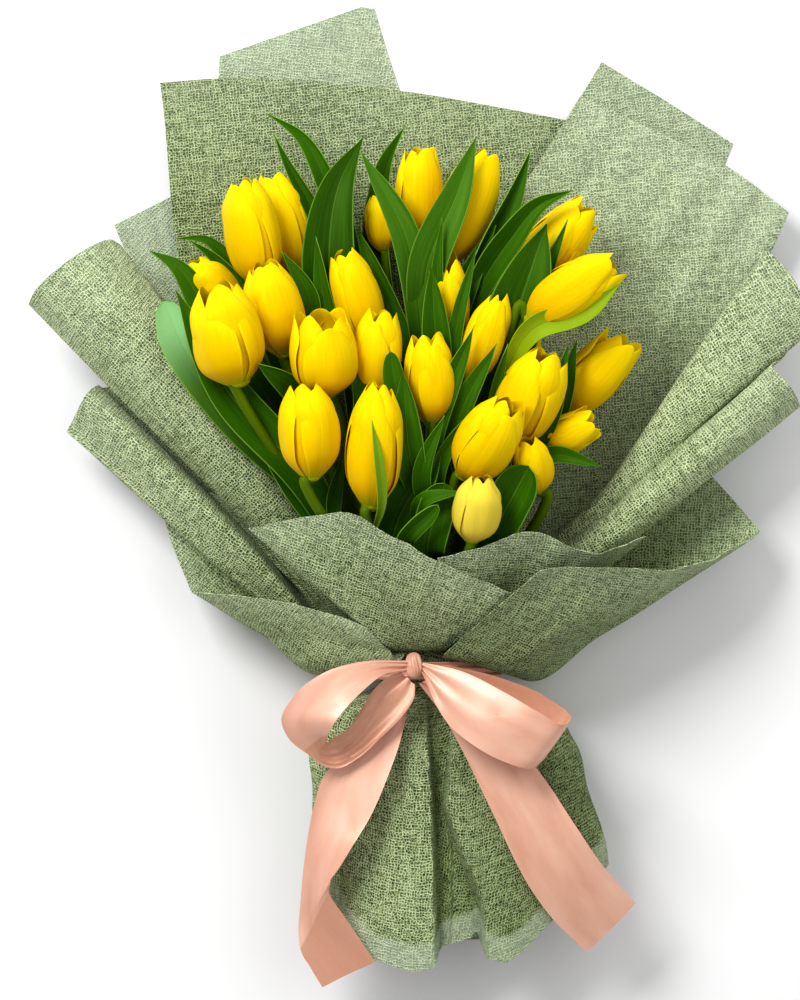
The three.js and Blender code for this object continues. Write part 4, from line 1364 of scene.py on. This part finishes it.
    def tail(self) -> bpy.types.Object:
        """Builds the inner sheet at the waist and the pleated tail that it opens into."""
        rings = np.array(self.tail_rings)
        v = np.linspace(0, 1, self.tail_rows)
        line = through(rings, chords(rings[:, None, :2]), v)
        around = np.radians(np.arange(0, 360, self.tail_step))
        y, middle, half, height, deep = (line[:, index][:, None] for index in range(5))
        x = middle + half * np.cos(around)[None, :]
        across = np.cos(around)[None, :]
        front = np.clip(np.sin(around), 0, 1)[None, :] ** 0.5
        grown = np.clip((self.tail_top - y) / self.tail_opening, 0, 1)
        share = np.clip((self.tail_top - y) / (self.tail_top - self.tail_low), 0, 1)
        downs, starts, ends = np.array(self.recess).T
        inside = x - np.interp(share, downs, starts)
        left, right = self.recess_sides
        beyond = np.interp(share, downs, ends) - x
        recess = np.clip(inside / left + 1, 0, 1) * np.clip(beyond / right + 1, 0, 1)
        fold = self.recess_depth * recess
        for start, end, run, depth in self.pleats:
            past = x - (start + (end - start) * share)
            steep = np.clip(past / self.pleat_side + 1, 0, 1)
            fold = fold + depth * steep * np.exp(-np.clip(past, 0, None) / run)
        soft = ripples(across * 0.5, v[:, None], TAIL_SEED, 6, 1.0) * 1.2
        z = height + deep * np.sin(around)[None, :] + front * grown * (soft - fold)
        z = z + (1 - front) * grown * soft * 0.4
        hem = np.where(np.sin(around) > 0, np.interp(x, *self.front_hem), np.interp(x, *self.back_hem))
        low = np.where(y > self.tail_top, y, self.tail_top + (hem - self.tail_top) * share)
        x = np.interp(-low, -line[:, 0], line[:, 1]) + np.interp(-low, -line[:, 0], line[:, 2]) * across
        y = low
        grid = np.stack([x, np.broadcast_to(y, x.shape), z], -1) * MM + np.array(SHIFT)
        seam = np.concatenate([grid, grid[:, :1]], axis=1)
        mesh = grid_mesh("paper_tail", grid, laid_out(seam), closed=True)
        single = np.clip((self.hem_band - (y - hem)) / self.hem_edge, 0, 1)
        mark(mesh, "ply", (1 - 0.65 * np.broadcast_to(single, x.shape)).reshape(-1))
        # Painted shade: the tail is darker towards its right, away from the light, with a painted shadow in
        # the recess beside the left panel's edge and less in the hem band.
        painted_recess_shadow = recess * front * grown**0.5 * (0.25 + 0.6 * np.exp(-np.clip(inside, 0, None) / 5))
        shade = (0.35 + 0.45 * np.clip(x / 60, 0, 1) + painted_recess_shadow) * (1 - 0.6 * single)
        mark(mesh, "shade", shade.reshape(-1))
        piece = thin_piece("paper_tail", mesh, self.thickness, self.crease_angle)
        self.declare(piece, seam, "gathered", ["ribbon_band"])
        return piece


@dataclass(frozen=True)
class Strip:
    """A free stretch of ribbon: the two edges that it runs between, from the knot outwards.

    turned is the share of its length from which its reverse side shows, darker partly as painted shade,
    and crumple how many millimetres deep the sharp folds beyond it are.
    """

    node: str
    outer: tuple
    inner: tuple
    held: str
    turned: float = 2.0
    crumple: float = 0.0


STRIPS = (
    Strip(
        "ribbon_left_loop",
        (
            (-5, -96, 79), (-31, -96.5, 88), (-54, -103, 96), (-71, -116, 99), (-79, -131, 97),
            (-74, -143, 92), (-63, -152, 87), (-54, -159, 82), (-46, -160.5, 78.5), (-33, -154, 78.5),
            (-20, -142, 79), (-7, -129, 79), (0, -118, 78.5), (0.5, -110.5, 77),
        ),
        (
            (-5, -102, 79), (-18, -104, 89), (-30, -113, 98), (-41, -124, 103), (-47, -132, 103),
            (-50, -137, 99), (-52, -141, 93), (-53, -145, 86), (-50, -143, 81), (-40, -137, 80),
            (-31, -124, 80), (-23, -112, 79.5), (-15, -105.5, 78.5), (-7.5, -103, 77),
        ),
        "folded",
        0.52,
        1.5,
    ),
    Strip(
        "ribbon_right_loop",
        (
            (5, -97, 79), (31, -103, 92), (54, -114.5, 102), (74, -126, 106), (89, -133.5, 100),
            (93.5, -129.5, 93), (78, -117, 88), (54, -107, 84), (31, -101, 79), (8.5, -97.5, 76),
        ),
        (
            (5, -103, 80), (18, -130, 88), (30, -142, 96), (50, -154, 100), (68, -159.5, 97),
            (73, -158, 90), (66, -146, 83), (49, -132, 80), (26, -116, 77), (8.4, -103, 75),
        ),
        "folded",
        0.54,
    ),
    Strip(
        "ribbon_left_tail",
        (
            (-7, -107, 73.5), (-30, -140, 71), (-51, -161, 71), (-59, -179, 71), (-65, -210, 68),
            (-68, -242, 60), (-69, -258, 55), (-68, -269, 54), (-62, -281, 52), (-55, -293, 50),
        ),
        (
            (-1, -109.8, 74), (-6, -135, 72), (-11, -153, 73), (-24, -185, 76), (-37, -207, 78),
            (-46, -222, 77), (-50, -228, 75), (-51, -234, 70), (-39, -253, 65), (-23, -277, 61),
        ),
        "draped",
        0.8,
    ),
    Strip(
        "ribbon_right_tail",
        (
            (8, -107, 73.5), (40, -125, 72), (72, -159, 72), (96, -194, 72), (113, -219, 66),
            (122, -230, 60), (133, -242, 52),
        ),
        (
            (3, -109.8, 74), (16, -127, 72), (30, -152, 72), (46, -185, 73), (70, -233, 66),
            (83, -251, 60), (104, -272, 50),
        ),
        "draped",
    ),
)


@dataclass
class Ribbon:
    """The peach satin ribbon: the gathered band round the waist, its knot, two loops and two tails."""

    wrap: Wrap
    thickness: float = 0.4 * MM
    crease_angle: float = 60.0
    band_layer: float = 9.0
    band_top: float = -97.0
    band_bottom: float = -107.5
    pleats: float = 2.5
    pleat_depth: float = 1.6 * MM
    knot_half_size: tuple = (5.6, 8.0, 6.6)
    rows: int = 140
    columns: int = 25
    # The share of a strip that is gathered at the knot, and the depth in millimetres of its gathers, of
    # its crown and of its soft creases.
    gathered: float = 0.35
    gather_depth: float = 0.9
    crown_depth: float = 1.6
    crease_depth: float = 0.7

    def band(self) -> bpy.types.Object:
        """Builds the band, gathered into pleats that lie flat under the bunch."""
        angles = np.arange(0, 360, 3.0)
        w = np.linspace(0, 1, 29)
        places = self.band_bottom + (self.band_top - self.band_bottom) * w
        grid = np.array([[self.wrap.waist(angle, self.band_layer, y) for angle in angles] for y in places])
        middle = np.array(placed((self.wrap.tie_x, 0, self.wrap.height)))
        out = grid - middle
        out[..., 1] = 0
        out /= np.linalg.norm(out, axis=-1, keepdims=True)
        around = np.radians(angles)[None, :]
        pressed = 1 - 0.85 * np.clip((-np.sin(around) - 0.2) / 0.5, 0, 1)
        wander = ripples(around / 6.28, w[:, None], BAND_SEED, 2, 0.4) * 0.12
        place = w[:, None] + wander * w[:, None] * (1 - w[:, None])
        fold = (1 - np.cos(2 * np.pi * self.pleats * place)) / 2
        grid = grid + out * (fold * pressed * self.pleat_depth)[..., None]
        seam = np.concatenate([grid, grid[:, :1]], axis=1)
        flat = laid_out(seam)[..., ::-1]
        mesh = grid_mesh("satin_band", grid, flat, closed=True)
        piece = thin_piece("satin_band", mesh, self.thickness, self.crease_angle)
        self.wrap.declare(piece, seam, "folded", ["paper_back_top"])
        return piece

    def strip(self, strip: Strip, seed: int) -> bpy.types.Object:
        """Builds one loop or tail between its two edges.

        Args:
            strip: the edges that it runs between.
            seed: which soft creases it has.

        Returns:
            The finished piece.
        """
        edges = np.array([[placed(point) for point in edge] for edge in (strip.outer, strip.inner)])
        rough = np.swapaxes(edges, 0, 1)
        places = chords(rough)
        t = np.linspace(0, 1, self.rows)
        long = through(rough, places, t)
        s = np.linspace(0, 1, self.columns)[None, :, None]
        grid = long[:, :1] * (1 - s) + long[:, 1:] * s
        across = np.linspace(-1, 1, self.columns)[None, :]
        near = np.clip(1 - t[:, None] / self.gathered, 0, 1) ** 1.5
        if strip.held == "folded":
            near = near + np.clip((t[:, None] - (1 - self.gathered)) / self.gathered, 0, 1) ** 1.5
        crown = (1 - across**2) * self.crown_depth * (1 - near)
        gathers = np.cos(across * np.pi * self.pleats + seed) * near * self.gather_depth
        soft = ripples(across * 0.5, t[:, None], seed, 0.8, 2.0) * self.crease_depth
        sharp = np.abs(ripples(across * 0.5, t[:, None], seed + 9, 1.5, 4.0)) - 0.4
        past = np.clip((t[:, None] - strip.turned) / 0.12, 0, 1)
        height = (crown + gathers + soft + sharp * past * strip.crumple) * MM
        grid = grid + grid_normals(grid) * height[..., None]
        name = strip.node.replace("ribbon", "satin")
        mesh = grid_mesh(name, grid, laid_out(grid))
        # Past turned, the strip takes the darker reverse colour, partly as painted shade inside a loop.
        mark(mesh, "reverse", np.repeat(t > strip.turned, self.columns))
        piece = thin_piece(name, mesh, self.thickness, self.crease_angle)
        self.wrap.declare(piece, grid, strip.held, ["satin_band"])
        return piece

    def knot(self) -> bpy.types.Object:
        """Builds the small knot: a soft lump with the ribbon's folds running over it."""
        deselect()
        bpy.ops.mesh.primitive_uv_sphere_add(segments=48, ring_count=32, radius=1.0, location=(0, 0, 0))
        piece = bpy.context.object
        piece.name = piece.data.name = "satin_knot"
        centre = placed(KNOT_DRAWN)
        for vertex in piece.data.vertices:
            x, y, z = vertex.co
            pinch = 1 - 0.14 * (1 - y * y)
            swing = math.atan2(x, z) + 0.35 * y
            folds = 0.1 * math.cos(5 * swing) + 0.05 * math.cos(11 * swing + 1)
            fold = 1 + folds * max(0.0, 1 - y * y) ** 0.5
            corner = 1 + 0.2 * abs(y) ** 3
            half_x, half_y, half_z = self.knot_half_size
            vertex.co = (
                centre.x + x * half_x * MM * pinch * fold * corner,
                centre.y + y * half_y * MM,
                centre.z + z * half_z * MM * pinch * fold,
            )
        layer = piece.data.uv_layers[0]
        layer.name = "laid_flat"
        for place in layer.data:
            place.uv = (place.uv[0] * 0.06, place.uv[1] * 0.03)
        rounded(piece, 80)
        return piece


@dataclass
class Studio:
    """A pale floor, soft light and a camera that looks straight down, as at the photograph."""

    floor_half: float = 3.0
    floor_tone: tuple = (0.8, 0.8, 0.8, 1.0)
    world_tone: tuple = (1.0, 1.0, 1.0, 1.0)
    world_strength: float = 0.46
    lamps_aim: Point = (0.0, 0.0, 0.05)
    # Each lamp's name, place, size and power.
    lamps: tuple = (
        ("key", (-1.0, 1.1, 1.6), 0.9, 38),
        ("fill", (1.4, 0.3, 1.8), 1.8, 10),
        ("rim", (0.3, 1.6, 0.9), 0.9, 6),
    )

    def floor(self) -> None:
        """Lays the floor just under the bunch."""
        deselect()
        bpy.ops.mesh.primitive_plane_add(size=self.floor_half * 2, location=(0, 0, -0.3 * MM))
        piece = bpy.context.object
        piece.name = "floor"
        paint = Paint("pale_floor")
        paint.surface(Base_Color=self.floor_tone, Roughness=0.9)
        piece.data.materials.append(paint.material)

    def lamp(self, name: str, place: Point, size: float, power: float) -> None:
        """Hangs a square lamp that faces the bunch."""
        lamp = bpy.data.lights.new(name, "AREA")
        lamp.size = size
        lamp.energy = power
        holder = bpy.data.objects.new(name, lamp)
        holder.location = place
        towards = Vector(self.lamps_aim) - Vector(place)
        holder.rotation_euler = towards.to_track_quat("-Z", "Y").to_euler()
        bpy.context.scene.collection.objects.link(holder)

    def camera(self) -> None:
        """Sets the camera over the photograph's middle, with its height of view in the frame."""
        camera = bpy.data.cameras.new("camera")
        camera.sensor_width = SENSOR
        camera.sensor_fit = "AUTO"
        camera.lens = SENSOR * VIEW_DISTANCE / PHOTO_HEIGHT
        camera.clip_end = 50
        holder = bpy.data.objects.new("camera", camera)
        holder.location = placed((*PHOTO_CENTRE, VIEW_LEVEL + VIEW_DISTANCE))
        bpy.context.scene.collection.objects.link(holder)
        bpy.context.scene.camera = holder

    def build(self) -> None:
        """Sets up the floor, the light and the camera."""
        self.floor()
        for lamp in self.lamps:
            self.lamp(*lamp)
        world = bpy.data.worlds.new("studio")
        bpy.context.scene.world = world
        world.use_nodes = True
        ground = world.node_tree.nodes["Background"]
        ground.inputs["Color"].default_value = self.world_tone
        ground.inputs["Strength"].default_value = self.world_strength
        self.camera()
        bpy.context.scene.view_settings.view_transform = "Standard"
        bpy.context.scene.view_settings.look = "Medium High Contrast"


def main() -> None:
    """Builds the bunch over its frame, piece by piece, and the studio round it."""
    logging.basicConfig(level=logging.INFO, format="%(message)s")
    Studio().build()
    wardrobe = Wardrobe()
    heads = HeadMaker()
    for number, head in enumerate(HEADS, 1):
        wardrobe.dress(heads.build(number, head), Finish.PETALS, f"tulip_head_{number:02d}")
    foliage = Foliage()
    for row, name in enumerate(foliage.names):
        wardrobe.dress(foliage.build(row), Finish.FOLIAGE, f"stems_and_leaves_{name}")
    wrap = Wrap()
    for seed, sheet in enumerate(SHEETS, SHEET_SEED):
        wardrobe.dress(wrap.sheet(sheet, seed), Finish.WRAP, sheet.node)
    wardrobe.dress(wrap.tail(), Finish.WRAP, "wrap_inner_and_tail")
    ribbon = Ribbon(wrap)
    wardrobe.dress(ribbon.band(), Finish.RIBBON, "ribbon_band")
    wardrobe.dress(ribbon.knot(), Finish.RIBBON, "ribbon_knot")
    for seed, strip in enumerate(STRIPS, STRIP_SEED):
        wardrobe.dress(ribbon.strip(strip, seed), Finish.RIBBON, strip.node)


if __name__ == "__main__":
    main()
